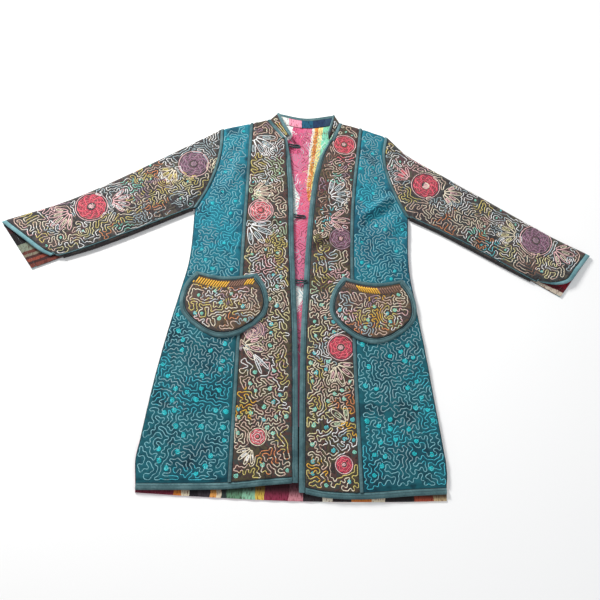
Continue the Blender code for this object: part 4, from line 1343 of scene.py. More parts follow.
def thread_piece(name, lines, tree, slot, width=THREAD_WIDTH, rise=THREAD_RISE):
    """Make one mesh of many threads; each line is (points, dye names of its points, closed)."""
    points, faces, caps, dyes, marks, cap_dyes = [], [], [], [], [], []
    names = sorted({dye_name for line in lines for dye_name in line[1]})
    first = 0
    for line, colours, closed in lines:
        count = len(line)
        run = np.roll(line, -1, axis=0) - np.roll(line, 1, axis=0)
        if not closed:
            run = np.gradient(line, axis=0)
        run /= np.linalg.norm(run, axis=1, keepdims=True) + 1e-12
        across = np.column_stack([run[:, 1], -run[:, 0]]) * width / 2
        height = height_at(tree, line)
        low = (height - THREAD_SINK)[:, None]
        triple = np.stack([np.hstack([line - across, low]),
                           np.hstack([line, (height + rise)[:, None]]),
                           np.hstack([line + across, low])], axis=1)
        points.append(triple.reshape(-1, 3))
        steps = np.linalg.norm(np.roll(line, -1, axis=0) - line, axis=1)
        along = np.concatenate([[0.0], np.cumsum(steps)])
        spans = count if closed else count - 1
        k = np.arange(spans)
        n = (k + 1) % count
        for a, b in ((0, 1), (1, 2), (2, 0)):
            faces.append(first + np.stack([3 * k + b, 3 * n + b, 3 * n + a, 3 * k + a], axis=1))
            ends = np.stack([along[k], along[k + 1], along[k + 1], along[k]], axis=1)
            sides = np.broadcast_to([b / 2, b / 2, a / 2, a / 2], ends.shape)
            marks.append(np.stack([sides, ends], axis=-1))
            dyes.append(np.array([names.index(colours[i]) for i in k]))
        if not closed:
            last = first + 3 * (count - 1)
            caps += [[first, first + 2, first + 1], [last, last + 1, last + 2]]
            cap_dyes += [names.index(colours[0])] * 2
        first += 3 * count
    points = np.vstack(points)
    points[:, 1] -= ORIGIN_UP
    faces = np.vstack(faces)
    caps = np.array(caps, int).reshape(-1, 3)
    starts = np.concatenate([np.arange(0, faces.size, 4), faces.size + np.arange(0, caps.size, 3)])
    mesh = bpy.data.meshes.new(name)
    mesh.vertices.add(len(points))
    mesh.vertices.foreach_set("co", points.ravel())
    mesh.loops.add(faces.size + caps.size)
    mesh.loops.foreach_set("vertex_index", np.concatenate([faces.ravel(), caps.ravel()]))
    mesh.polygons.add(len(starts))
    mesh.polygons.foreach_set("loop_start", starts)
    mesh.update(calc_edges=True)
    mesh.polygons.foreach_set("material_index", np.concatenate(dyes + [np.array(cap_dyes, int)]))
    mesh.polygons.foreach_set("use_smooth", np.ones(len(starts), bool))
    layer = mesh.uv_layers.new(name="along_thread")
    flat = np.concatenate([np.vstack(marks).reshape(-1), np.zeros(caps.size * 2)])
    layer.data.foreach_set("uv", flat.astype(np.float32))
    piece = bpy.data.objects.new(name, mesh)
    bpy.context.scene.collection.objects.link(piece)
    return settle(piece, [floss_of[dye_name] for dye_name in names], slot)


PARTNERS = {
    "white": "grey blue", "cream": "beige", "beige": "cream", "pale pink": "white",
    "coral": "pale pink", "crimson": "coral", "plum": "mauve", "mauve": "beige",
    "yellow": "cream", "pale yellow": "white", "gold": "yellow", "orange": "beige",
    "pale green": "white", "mint": "white", "turquoise": "white", "grey blue": "white",
    "brown": "beige", "olive": "pale yellow", "maroon": "mauve", "ink": "grey blue",
    "rose": "pale pink", "pale teal": "pale teal", "sky": "pale teal",
    "grey teal": "pale teal",
}
PARTNER_STRETCH = 9


def zone_dyes(line, zones, seed, partners=0.34):
    """The dye of each point of a line: that of the nearest zone or its partner, ragged."""
    spots = np.array([zone[:2] for zone in zones])
    k = np.arange(len(zones)) + seed
    x, y = line[:, 0, None], line[:, 1, None]
    ragged = np.stack([np.sin(x * 210 + k * 2.1) + np.sin(y * 330 + k),
                       np.sin(y * 190 + k * 1.3) + np.sin(x * 290 + k * 2.7)], axis=-1)
    apart = line[:, None] - spots + ragged * 0.007
    nearest = np.hypot(apart[..., 0], apart[..., 1]).argmin(axis=1)
    rng = np.random.default_rng(seed + len(line))
    swap = np.repeat(rng.random(len(line) // PARTNER_STRETCH + 1) < partners, PARTNER_STRETCH)
    return [PARTNERS[zones[z][2]] if swap[i] else zones[z][2] for i, z in enumerate(nearest)]


def dot(centre, radius, colour):
    """A small round of chain stitch, worked in a spiral from its middle."""
    turns = radius / THREAD_WIDTH
    angle = np.linspace(0.4, 2 * math.pi * turns, max(8, int(turns * 7)))
    reach = radius * angle / angle[-1]
    line = centre + np.column_stack([reach * np.cos(angle), reach * np.sin(angle)])
    return line, [colour] * len(line), False


print("vermicelli and thread makers ready")

# %% [markdown]
# Stitching pulls the two layers together, so the cloth is lowest along its threads and swells
# between them. For each point of a shell the distance to the nearest thread gives the swell. It
# dies out where a strip or a pocket lies over the cloth, and every free edge rolls off a little.
# %% Quilted relief
CLEAR = 0.0027
SWELL = 0.0016
STRIP_PLAIN = 0.0048
STRIP_FADE = 0.005
RUMPLE = 0.0008
EDGE_ROLL = 0.0013
ROLL_OVER = 0.0035


def near(points, lines):
    """Distance from plan points to the nearest of some open lines."""
    return np.min([distance_to(points, line, closed=False) for line in lines], axis=0)


def swell_of(plan, threads, spacing, strips, hidden=None):
    """How far cloth stands above its plain face, from its plan grid and its thread lines."""
    places = np.vstack(threads)
    tree = KDTree(len(places))
    for k, (x, y) in enumerate(places):
        tree.insert((x, y, 0.0), k)
    tree.balance()
    flat = plan.reshape(-1, 2)
    away = np.array([tree.find((x, y, 0.0))[2] for x, y in flat]).reshape(plan.shape[:-1])
    fade = smooth((near(plan, strips) - STRIP_PLAIN) / STRIP_FADE)
    if hidden is not None:
        fade *= np.where(inside(plan, hidden), 0.0,
                         smooth(distance_to(plan, hidden) / STRIP_FADE))
    x, y = plan[..., 0], plan[..., 1]
    rumple = (np.sin(x * 95 + np.sin(y * 41) * 2) * np.sin(y * 78 + np.sin(x * 57) * 2)
              + 0.6 * np.sin(x * 171 + y * 83) * np.sin(y * 149 - x * 61))
    rumple = np.maximum(rumple, -0.6) + 0.6
    roll = EDGE_ROLL * (1.0 - smooth(distance_to(plan, outline_of(plan)[::2]) / ROLL_OVER))
    return fade * (SWELL * smooth(away / (0.5 * spacing)) + RUMPLE * rumple) - roll


# %% [markdown]
# Each front is a side front and a band, and they meet at a seam that a strip covers. Their plans
# come from the same four lines, so the seam runs straight through. The pocket hides some of both,
# and nothing is stitched there.
# %% Plans of the fronts
POCKET_HIDES = 0.93


def front_plans(name, side):
    """Plan grids of the side front and of the band of one front."""
    outer, seam, opening, edge = body[name]
    inset = np.array([side * GAP / 2, 0.0])
    return (between(side, seam + inset, outer - inset, SIDE_COLUMNS),
            between(side, edge, seam - inset, BAND_COLUMNS))


def pocket_area(side, size=POCKET_HIDES):
    """Closed outline of the cloth that a pocket hides."""
    outer, inner, bottom, mouth = pocket_outline(side, size, size)
    return np.vstack([outer[::-1], bottom[1:], inner[1:], mouth[::-1][1:-1]])


def front_shell(name, plan, swell, materials, slot):
    """Shell of a front panel on the plain solid's own faces, swollen between its threads."""
    under = front_under(plan)
    return cloth_wall(name, raised(plan, under), raised(plan, under + WALL + swell),
                      materials, slot, thin=True)


plans = {name: front_plans(name, side) for name, side in SIDES.items()}
shells, extras = {}, {label: [] for label in frame["nodes"]}


def sew(label, name, lines, ground, slot, **size):
    """Lay threads on a finished piece, as a part of the cloth piece with that label."""
    extras[label].append(thread_piece(name, lines, tree_of(ground), slot, **size))


print("cells of one side front:", SIDE_COLUMNS * (SIDE_ROWS + ARM_ROWS))

# %% [markdown]
# A side front is teal cotton covered with pale vermicelli, closer at the chest than at the hem.
# Turquoise dots, which give the cloth its sparkle, are scattered before the line is drawn, and
# the line keeps clear of them.
# %% Side fronts
TEAL_SPACING = 0.0061
TEAL_GROW = 0.14
TEAL_MARGIN = 0.0036
TEAL_STRIP_MARGIN = 0.0064
TEAL_DOTS = 46
TEAL_DOTS_APART = 0.0185
TEAL_ZONES = 70
TEAL_FLOSS = ["pale teal", "pale teal", "grey teal", "pale teal", "sky", "grey teal"]


def down_from(y, waist=0.62, reach=0.30):
    """Ease from 0 at the waist to 1 at a reach below it."""
    return smooth((waist - y) / reach)


def more_below(y):
    """Share of the places for dots that are used at a height: most of them on the skirt."""
    return 0.35 + 0.65 * down_from(y)


def dot_radius(y):
    """Radius of the dots at a height."""
    return 0.0042 + 0.0014 * down_from(y)


for name, side in SIDES.items():
    plan = plans[name][0]
    label = "side_front_" + name
    hidden = pocket_area(side)
    strips = [plan[:, 0], plan[SIDE_ROWS:, -1], plan[0]]

    border = outline_of(plan)
    plain_room = room_within(border, TEAL_MARGIN, strips, TEAL_STRIP_MARGIN, hidden)
    dots = scattered(border, plain_room, TEAL_DOTS, more_below, dot_radius, TEAL_DOTS_APART,
                     5 + side)
    rims = [rim_of(*one) for one in dots]
    room = room_within(border, TEAL_MARGIN, strips, TEAL_STRIP_MARGIN, hidden, rims, CLEAR)
    loops = vermicelli(border, TEAL_SPACING, 11 + side, room, lean=0.3 * side, grow=TEAL_GROW,
                       motifs=rims)
    rng = np.random.default_rng(5 + side)
    zones = [(*rng.uniform(border.min(axis=0), border.max(axis=0)),
              TEAL_FLOSS[int(rng.integers(len(TEAL_FLOSS)))]) for _ in range(TEAL_ZONES)]
    swell = swell_of(plan, loops, TEAL_SPACING, strips, hidden)
    shells[label] = front_shell("teal_side_" + name, plan, swell,
                                [teal_cotton, lining_cotton], "teal_quilting")
    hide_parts(label)
    lines = [(loop, zone_dyes(loop, zones, 3, 0.0), True) for loop in loops]
    lines += [dot(spot, radius, "bright turquoise") for spot, radius in dots]
    sew(label, "vermicelli_side_" + name, lines, shells[label], "teal_quilting")
    print(label, "metres of thread:",
          round(sum(len(loop) for loop in loops) * THREAD_STEP, 1), "dots:", len(dots))

# %% [markdown]
# The bands, sleeves, pockets and collar are cut from embroidered cloth: round flowers with fans
# of leaves between them, all filled in with close meandering chain stitch. This is the old craft
# of suzani work, and the flowers below are its plain stock forms: a spiral heart, scalloped
# rounds of petals and a plain rim, and lens-shaped leaves that open like a fan.
# %% Flowers and leaves
ROUND_STEP = 0.0032


def ring(centre, radius, colour, wave=0.0, count=0, turn=0.0):
    """A closed round of stitches, scalloped where it has a wave."""
    angle = np.linspace(0.0, 2 * math.pi, max(14, int(radius * 2600)), endpoint=False)
    reach = radius * (1.0 + wave * np.cos(count * angle + turn))
    line = np.asarray(centre) + np.column_stack([reach * np.cos(angle), reach * np.sin(angle)])
    return line, [colour] * len(line), True


def flower(centre, radius, heart, petals, second, rim):
    """A round flower: spiral heart, scalloped rounds in two dyes and a plain rim."""
    lines = [dot(np.asarray(centre), radius * 0.22, heart)]
    count = max(6, int(round(radius * 260)))
    rounds = max(2, int(round(radius * 0.66 / ROUND_STEP)))
    for k in range(rounds):
        share = (k + 0.5) / rounds
        wave = 0.11 * math.sin(math.pi * share)
        lines.append(ring(centre, radius * (0.28 + 0.62 * share),
                          second if k % 2 == 1 else petals, wave, count, k * 0.5))
    lines.append(ring(centre, radius, rim))
    return lines


def leaf(foot, angle, length, width, colours):
    """A lens-shaped leaf with a vein, or a second round inside it where there is room."""
    lines = []
    t = np.linspace(0.0, 2 * math.pi, max(14, int(length * 900)), endpoint=False)
    for share, colour in ((1.0, colours[0]), (0.42, colours[1])):
        along = length / 2 * (1.0 - share * np.cos(t)) + length * 0.04 * (1 - share)
        across = width / 2 * share * np.sin(t) * (0.8 + 0.25 * (1.0 - np.cos(t)))
        line = np.column_stack([along * math.cos(angle) - across * math.sin(angle),
                                along * math.sin(angle) + across * math.cos(angle)])
        if share < 1.0 and width < 0.0062:
            line = line[[0, len(line) // 4, len(line) // 2]]
            lines.append((np.asarray(foot) + line, [colour] * 3, False))
        else:
            lines.append((np.asarray(foot) + line, [colour] * len(line), True))
    return lines


def fan(foot, angle, spread, length, leaves, colours):
    """Leaves that open from one point, the middle ones longest."""
    lines = []
    for k in range(leaves):
        share = (k / (leaves - 1) - 0.5) if leaves > 1 else 0.0
        turn = angle + spread * share
        size = length * (1.0 - 0.4 * abs(share))
        start = np.asarray(foot) + 0.16 * length * np.array([math.cos(turn), math.sin(turn)])
        width = min(size * 0.30, 2 * 0.6 * size * math.tan(spread / leaves / 2))
        lines += leaf(start, turn, size, width, colours)
    return lines


print("lines in one flower:", len(flower((0.0, 0.0), 0.03, "white", "coral", "cream", "white")))

# %% [markdown]
# The design of each embroidered piece is a few short lists in the coat's own plan: its flowers
# and fans, and the zones that say which floss the filling around them is worked in.
# %% Embroidery designs
FLOWERS = {
    # x, height, radius, and the dyes of the heart, the petals, their second round and the rim
    "band_left": [(-0.098, 0.643, 0.029, "coral", "coral", "pale pink", "pale pink"),
                  (-0.078, 0.115, 0.018, "coral", "pale pink", "coral", "cream"),
                  (-0.099, 0.347, 0.022, "pale pink", "mauve", "beige", "pale pink")],
    "band_right": [(0.100, 0.836, 0.028, "pale pink", "crimson", "coral", "pale pink"),
                   (0.094, 0.579, 0.026, "pale pink", "plum", "mauve", "mauve"),
                   (0.096, 0.315, 0.029, "pale pink", "coral", "crimson", "pale pink"),
                   (0.105, 0.064, 0.018, "pale pink", "coral", "crimson", "pale pink")],
    "sleeve_left": [(-0.268, 0.761, 0.036, "mauve", "plum", "mauve", "pale pink"),
                    (-0.497, 0.633, 0.037, "pale pink", "crimson", "coral", "pale pink")],
    "sleeve_right": [(0.301, 0.732, 0.035, "pale pink", "crimson", "coral", "pale pink"),
                     (0.562, 0.598, 0.038, "mauve", "plum", "mauve", "pale pink")],
}
FANS = {
    # x, height, angle, spread, length, leaves, dyes
    "band_left": [(-0.128, 0.846, -0.75, 1.5, 0.058, 4, ("white", "grey blue")),
                  (-0.124, 0.690, 0.15, 1.3, 0.050, 4, ("cream", "beige")),
                  (-0.126, 0.606, -0.62, 1.5, 0.056, 4, ("white", "grey blue")),
                  (-0.122, 0.312, 0.1, 1.9, 0.044, 4, ("cream", "pale pink")),
                  (-0.100, 0.298, -0.95, 0.35, 0.056, 2, ("white", "grey blue")),
                  (-0.088, 0.092, -2.2, 1.3, 0.034, 4, ("cream", "white"))],
    "band_right": [(0.062, 0.690, 0.5, 1.6, 0.050, 4, ("white", "grey blue")),
                   (0.064, 0.628, -0.05, 1.3, 0.046, 3, ("pale pink", "beige")),
                   (0.084, 0.278, -0.9, 1.7, 0.044, 4, ("cream", "pale pink")),
                   (0.112, 0.150, 2.5, 1.5, 0.038, 3, ("cream", "pale green"))],
    "sleeve_left": [(-0.312, 0.748, 4.1, 1.5, 0.040, 4, ("cream", "yellow")),
                    (-0.226, 0.770, -0.2, 1.6, 0.034, 4, ("cream", "pale green")),
                    (-0.541, 0.618, 3.9, 1.7, 0.050, 5, ("pale pink", "cream")),
                    (-0.455, 0.650, 0.1, 1.5, 0.044, 4, ("pale pink", "white"))],
    "sleeve_right": [(0.262, 0.748, 2.5, 1.4, 0.036, 4, ("pale pink", "coral")),
                     (0.341, 0.716, -0.3, 1.5, 0.044, 4, ("cream", "pale pink")),
                     (0.519, 0.610, 2.9, 1.6, 0.046, 4, ("cream", "pale yellow")),
                     (0.603, 0.578, -0.55, 1.6, 0.046, 4, ("pale pink", "cream"))],
}
def zones_in(text):
    """Read zones from "x height dye" in millimetres, parted by commas."""
    rows = [row.split(maxsplit=2) for row in text.split(",")]
    return [(int(x) / 1000, int(height) / 1000, " ".join(dye_name.split()))
            for x, height, dye_name in rows]


ZONES = {
    "band_left": zones_in("""
        -117 870 mauve, -90 845 beige, -82 815 white, -118 764 yellow, -60 760 pale green,
        -93 725 white, -45 700 beige, -120 690 pale green, -45 640 cream, -40 600 pale green,
        -110 590 white, -56 551 yellow, -90 545 beige, -119 515 pale yellow, -82 505 pale pink,
        -32 488 yellow, -60 470 white, -45 425 cream, -30 360 pale yellow, -105 330 mauve,
        -60 310 beige, -110 285 white, -53 265 pale pink, -26 264 yellow, -118 235 beige,
        -109 190 gold, -80 210 cream, -66 180 beige, -24 190 pale yellow, -40 130 cream,
        -115 125 beige, -15 120 yellow, -105 65 beige, -84 45 yellow, -50 70 orange, -27 55 cream"""),
    "band_right": zones_in("""
        117 880 cream, 96 800 coral, 75 800 brown, 87 768 beige, 110 760 mauve, 60 750 brown,
        78 735 mint, 115 720 beige, 87 685 white, 115 660 cream, 50 690 brown, 55 627 turquoise,
        50 600 beige, 88 628 pale pink, 38 565 olive, 45 640 brown, 46 720 maroon, 56 460 olive,
        38 535 yellow, 64 525 grey blue, 101 528 cream, 45 486 yellow, 90 488 pale pink,
        30 450 pale green, 60 430 beige, 36 390 cream, 36 337 pale yellow, 60 300 grey blue,
        37 270 yellow, 94 250 cream, 70 225 beige, 39 190 yellow, 115 187 orange, 108 155 gold,
        60 140 pale yellow, 90 115 white, 41 90 cream, 70 60 beige, 42 50 gold, 111 26 yellow"""),
    "sleeve_left": zones_in("""
        -225 840 white, -240 810 grey blue, -222 745 cream, -250 705 yellow, -277 690 pale yellow,
        -299 648 ink, -325 624 ink, -280 664 grey blue, -330 745 white, -347 671 yellow,
        -338 640 orange, -368 748 orange, -394 716 yellow, -375 690 mauve, -408 695 mint,
        -442 680 white, -415 623 yellow, -377 604 grey blue, -440 640 white, -460 585 yellow,
        -447 562 orange, -415 570 mint, -502 566 pale yellow, -480 545 grey blue, -530 640 white,
        -560 625 mauve, -540 570 cream, -575 590 white, -600 615 pale pink, -615 580 beige,
        -635 600 yellow, -655 585 beige, -570 540 beige, -605 545 yellow, -640 565 pale pink,
        -545 520 pale yellow, -500 525 white"""),
    "sleeve_right": zones_in("""
        215 843 yellow, 235 810 white, 250 790 pale pink, 240 750 grey blue, 230 715 beige,
        257 700 yellow, 280 670 beige, 310 660 cream, 337 735 cream, 340 675 grey blue,
        375 720 white, 400 695 white, 347 635 orange, 380 640 cream, 442 676 yellow,
        430 640 beige, 410 600 mint, 422 585 orange, 470 650 white, 480 610 white,
        450 560 turquoise, 490 560 pale yellow, 515 540 cream, 545 525 brown, 520 645 white,
        600 600 white, 580 530 pale yellow, 616 515 cream, 640 560 white, 665 562 beige,
        630 580 grey blue, 640 525 white"""),
    "pocket_left": zones_in("""
        -225 470 gold, -200 462 gold, -178 458 gold, -150 455 orange, -125 458 pale pink,
        -105 466 gold, -230 428 cream, -200 426 white, -170 432 mauve, -140 430 pale pink,
        -110 430 beige, -240 400 yellow, -210 392 yellow, -180 396 pale yellow, -150 390 yellow,
        -115 398 cream, -220 362 pale pink, -185 360 beige, -150 360 orange, -120 366 grey blue,
        -170 342 beige"""),
    "pocket_right": zones_in("""
        215 462 beige, 190 458 gold, 165 455 gold, 135 455 cream, 112 462 pale pink,
        230 430 cream, 195 428 beige, 165 425 mauve, 130 425 beige, 100 420 white,
        235 395 pale pink, 205 395 yellow, 175 388 gold, 140 388 yellow, 105 385 pale pink,
        215 360 pale green, 190 350 orange, 155 348 grey blue, 118 354 orange"""),
}
print("flowers:", sum(len(part) for part in FLOWERS.values()))

# %% [markdown]
# One function works a whole embroidered piece. The flowers and fans are laid first, then dots of
# mint and turquoise are scattered between them, and the meandering fills what is left clear.
# %% Filling an embroidered piece
SMALL_DOTS = ("mint", "mint", "turquoise", "mint", "turquoise")
SMALL_DOTS_APART = 0.016
MOTIF_SLACK = 0.001      # flowers and leaves may come this much nearer an edge than the filling
SHORTEST_RUN = 4         # points of a flower's line that are still worth stitching


def small_radius(y):
    """Radius of the dots in embroidered cloth at a height."""
    return 0.0030 + 0.0020 * down_from(y, 0.60, 0.20)


def embroider(label, border, spacing, seed, strips, hidden=None, dots=10, lean=0.5,
              grow=0.0, margin=0.0032):
    """Give every thread line of a piece: its meandering, its dots, its flowers and leaves."""
    rng = np.random.default_rng(seed + 50)
    motifs = []
    for x, y, radius, heart, petals, second, rim in FLOWERS.get(label, []):
        motifs += flower((x, y), radius, heart, petals, second, rim)
    for x, y, angle, spread, length, leaves, colours in FANS.get(label, []):
        motifs += fan((x, y), angle, spread, length, leaves, colours)
    allowed = room_within(border, margin - MOTIF_SLACK, strips, STRIP_PLAIN - MOTIF_SLACK, hidden)
    kept = []
    for points, colours, closed in motifs:
        good = allowed(points) > 0.0
        if good.all():
            kept.append((points, colours, closed))
            continue
        first = int(np.argmin(good))
        run = []
        for k in [*range(first, len(points)), *range(first), -1]:
            if k >= 0 and good[k]:
                run.append(k)
                continue
            if len(run) >= SHORTEST_RUN:
                kept.append((points[run], [colours[0]] * len(run), False))
            run = []
    spots = [line[0] for line in kept]
    spots += [np.array([[row[0], row[1]]]) for row in FLOWERS.get(label, [])]
    room = room_within(border, margin, strips, STRIP_PLAIN, hidden, spots, CLEAR)
    dots = scattered(border, room, dots, more_below, small_radius, SMALL_DOTS_APART, seed)
    spots += [rim_of(*one) for one in dots]
    room = room_within(border, margin, strips, STRIP_PLAIN, hidden, spots, CLEAR)
    loops = vermicelli(border, spacing, seed, room, lean=lean, grow=grow, motifs=spots)
    lines = [(loop, zone_dyes(loop, ZONES[label], seed), True) for loop in loops]
    lines += [dot(spot, radius, SMALL_DOTS[int(rng.integers(len(SMALL_DOTS)))]) for spot, radius in dots]
    return lines + kept


print("dyes of the small dots:", SMALL_DOTS)

# %% [markdown]
# The bands run down both sides of the opening. They are worked like the rest, with dots that grow
# larger and more frequent on the skirt.
# %% Bands
BAND_SPACING = 0.0049
BAND_GROW = 0.11

for name, side in SIDES.items():
    plan = plans[name][1]
    label = "band_" + name
    hidden = pocket_area(side)
    neck = len(body[name][2]) - 1
    strips = [plan[:, -1], plan[neck:, 0], plan[0] - [0.0, 0.004],
              plan[:neck, 0] - [side * 0.003, 0.0]]
    lines = embroider(label, outline_of(plan), BAND_SPACING, 31 + side, strips, hidden,
                      grow=BAND_GROW, dots=38)
    swell = swell_of(plan, [line[0] for line in lines], BAND_SPACING,
                     [plan[:, -1], plan[neck:, 0]], hidden)
    shells[label] = front_shell("embroidered_" + label, plan, swell,
                                [band_cotton, lining_cotton], "embroidered_band")
    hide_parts(label)
    sew(label, "chain_stitch_" + label, lines, shells[label], "embroidered_band", width=0.0028)
    print(label, "thread lines:", len(lines))

# %% [markdown]
# The strips and bindings are bias-cut cotton folded round a raw edge or laid over a seam. Each is
# a long wall whose top is rounded across, a little uneven along, as hand-basted binding is.
# %% Rounded bindings
BINDING_SHARES = np.array([0.0, 0.06, 0.18, 0.35, 0.5, 0.65, 0.82, 0.94, 1.0])
BINDING_CROWN = 0.0012
UNEVEN = 0.00035


def crowned(shares, power=3, root=0.6):
    """Rise of a rounded tape at shares of its width."""
    return (1.0 - np.abs(2 * shares - 1) ** power) ** root


def trim(name, inner, outer, under, thick=WALL, crown=BINDING_CROWN, slot="binding_cloth",
         materials=None, edge=0.45):
    """Lay a rounded binding between two plan lines; under gives its lower face's height."""
    plan = inner[:, None] + (outer - inner)[:, None] * BINDING_SHARES[None, :, None]
    low = under(plan)
    curve_up = crowned(BINDING_SHARES)
    run = np.concatenate([[0.0], np.cumsum(np.linalg.norm(np.diff(inner, axis=0), axis=1))])
    wave = UNEVEN * (np.sin(run * 210) + np.sin(run * 87 + 1.0))[:, None]
    top = low + thick * edge + (thick * (1 - edge) + crown + wave) * curve_up
    piece = cloth_wall(name, raised(plan, low), raised(plan, top),
                       materials or [binding_cotton], slot, thin=True, angle=65)
    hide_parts(name.removeprefix("bound_"))
    return piece


def every_other(line):
    """Keep every second point of a line, and its last."""
    return np.vstack([line[:-1:2], line[-1:]])


def on_cloth(plan):
    """Height of the lower face of a strip that lies on a front panel."""
    return front_under(plan) + WALL + GAP


def ditch(points, colour="ditch"):
    """A line of dark thread: in its own dye it is painted shadow where a binding, strip or cord meets
    the cloth; in another dye it is a sewn line.
    """
    return points, [colour] * len(points), False


print("shares across a binding:", len(BINDING_SHARES))

# %% [markdown]
# Each front has a strip over its band seam and bindings round its front edge, hem and the foot of
# the collar. Sewn lines run along the bindings, and dark lines of thread beside the strips and bindings,
# and along the side seams, are painted shadow.
# %% Strips and bindings of the fronts
STRIP_SHOWN = 0.0076
SHADOW_LINE_WIDTH = 0.0022
SEWN_WIDTH = 0.0022
SEWN_RISE = 0.0002
SHADOW_LINE_RISE = 0.0003
SHADOW_LINE_BESIDE = 0.0003    # from a strip's edge to the middle of the painted shadow line beside it

for name, side in SIDES.items():
    outer, seam, opening, edge = body[name]
    side_plan, band_plan = plans[name]
    half = STRIP_SHOWN / 2
    left = toward(band_plan[:, -1], band_plan[:, -4], half - GAP)
    right = toward(side_plan[:, 0], side_plan[:, 3], half - GAP)
    strip = trim("bound_seam_strip_" + name, every_other(left), every_other(right), on_cloth,
                 thick=TAPE)
    extras["band_" + name].append(strip)

    start = np.array([opening[0, 0], float(hem_height(side, opening[0, 0]))])
    line = curve([start] + [tuple(point) for point in opening[24:]], len(opening) - 1)
    bound = edge[:len(opening)] - [side * GAP, 0.0]
    bound[0, 1] = start[1]
    front = trim("bound_front_binding_" + name, every_other(bound), every_other(line), front_under)
    extras["band_" + name].append(front)

    hem_x = np.linspace(bound[0, 0] + side * GAP, outer[0, 0] - side * GAP / 2, 96)
    low = np.column_stack([hem_x, hem_height(side, hem_x)])
    hem = trim("bound_hem_binding_" + name, low + [0.0, EDGE_BINDING], low, front_under)
    extras["side_front_" + name].append(hem)

    neck = slice(len(opening) - 1, len(edge))
    foot = toward(band_plan[neck, 0], band_plan[neck, 4], -0.0022)
    base = trim("bound_collar_base_binding_" + name, foot,
                toward(band_plan[neck, 0], band_plan[neck, 4], COLLAR_BINDING - 0.001), on_cloth,
                thick=TAPE)
    extras["band_" + name].append(base)

    lines = [ditch((bound + 0.36 * (line - bound))[2:-2], "sewn line")]
    sew("band_" + name, "sewn_front_binding_" + name, lines, front, "binding_cloth",
        width=SEWN_WIDTH, rise=SEWN_RISE)
    lines = [ditch(low[1:-1] + [0.0, 0.62 * EDGE_BINDING], "sewn line")]
    sew("side_front_" + name, "sewn_hem_binding_" + name, lines, hem, "binding_cloth",
        width=SEWN_WIDTH, rise=SEWN_RISE)

    # Painted shadow: dark lines beside the seam strip, the front and hem bindings and the collar's foot.
    lines = [ditch(toward(band_plan[3:, -1], band_plan[3:, -4], half + SHADOW_LINE_BESIDE)),
             ditch(band_plan[3:len(opening) - 2, 0] + [side * 0.0002, 0.0]),
             ditch(toward(band_plan[neck, 0], band_plan[neck, 4], COLLAR_BINDING - 0.0006)),
             ditch(band_plan[0, 1:] + [0.0, 0.0004])]
    sew("band_" + name, "ditch_band_" + name, lines, shells["band_" + name], "binding_cloth",
        width=SHADOW_LINE_WIDTH, rise=SHADOW_LINE_RISE)
    # Painted shadow: dark lines beside the seam and armhole strips, the hem binding and along the side
    # seam.
    lines = [ditch(toward(side_plan[3:, 0], side_plan[3:, 3], half + SHADOW_LINE_BESIDE)),
             ditch(toward(side_plan[SIDE_ROWS:, -1], side_plan[SIDE_ROWS:, -4],
                          half + SHADOW_LINE_BESIDE)),
             ditch(side_plan[0, 1:-1] + [0.0, 0.0004]),
             ditch(toward(side_plan[2:SIDE_ROWS, -1], side_plan[2:SIDE_ROWS, -4], 0.0014))]
    sew("side_front_" + name, "ditch_side_" + name, lines, shells["side_front_" + name],
        "binding_cloth", width=SHADOW_LINE_WIDTH, rise=SHADOW_LINE_RISE)
# Their lines of thread are sewn lines along the bindings and painted shadow beside them.
print("bindings of the fronts: 8, with their stitch lines")

# %% [markdown]
# A patch pocket lies on each front, across the seam strip, a little slack below its mouth. Its
# cloth is embroidered like the bands, with a row of long leaning stitches in gold and brown under
# the mouth, and a wide binding runs down one side, round the bottom and up the other.
# %% Pockets
POCKET_SPACING = 0.0050
POCKET_LINE_WIDTH = 0.0030
STITCH_STEP = 0.0056
MOUTH_ROWS = {
    # x where a run of stitches starts and ends, and its dye
    -1: [(0.100, 0.122, "gold"), (0.124, 0.158, "brown"), (0.160, 0.236, "gold")],
    1: [(0.100, 0.128, "brown"), (0.130, 0.176, "gold"), (0.178, 0.236, "brown")],
}


def slanted_stitches(side, mouth):
    """A row of long leaning stitches under the pocket's mouth, in runs of one dye."""
    lines = []
    height = np.column_stack([np.abs(mouth[:, 0]), mouth[:, 1]])
    height = height[height[:, 0].argsort()]
    for start, end, colour in MOUTH_ROWS[side]:
        for x in np.arange(start, end, STITCH_STEP):
            top = float(np.interp(x, height[:, 0], height[:, 1])) - 0.0035
            share = np.array([0.0, 0.33, 0.67, 1.0])
            bow = 0.0010 * np.sin(share * math.pi)
            points = np.column_stack([side * (x + 0.009 * share + bow), top - 0.0145 * share])
            lines.append((points, [colour] * 4, False))
    return lines


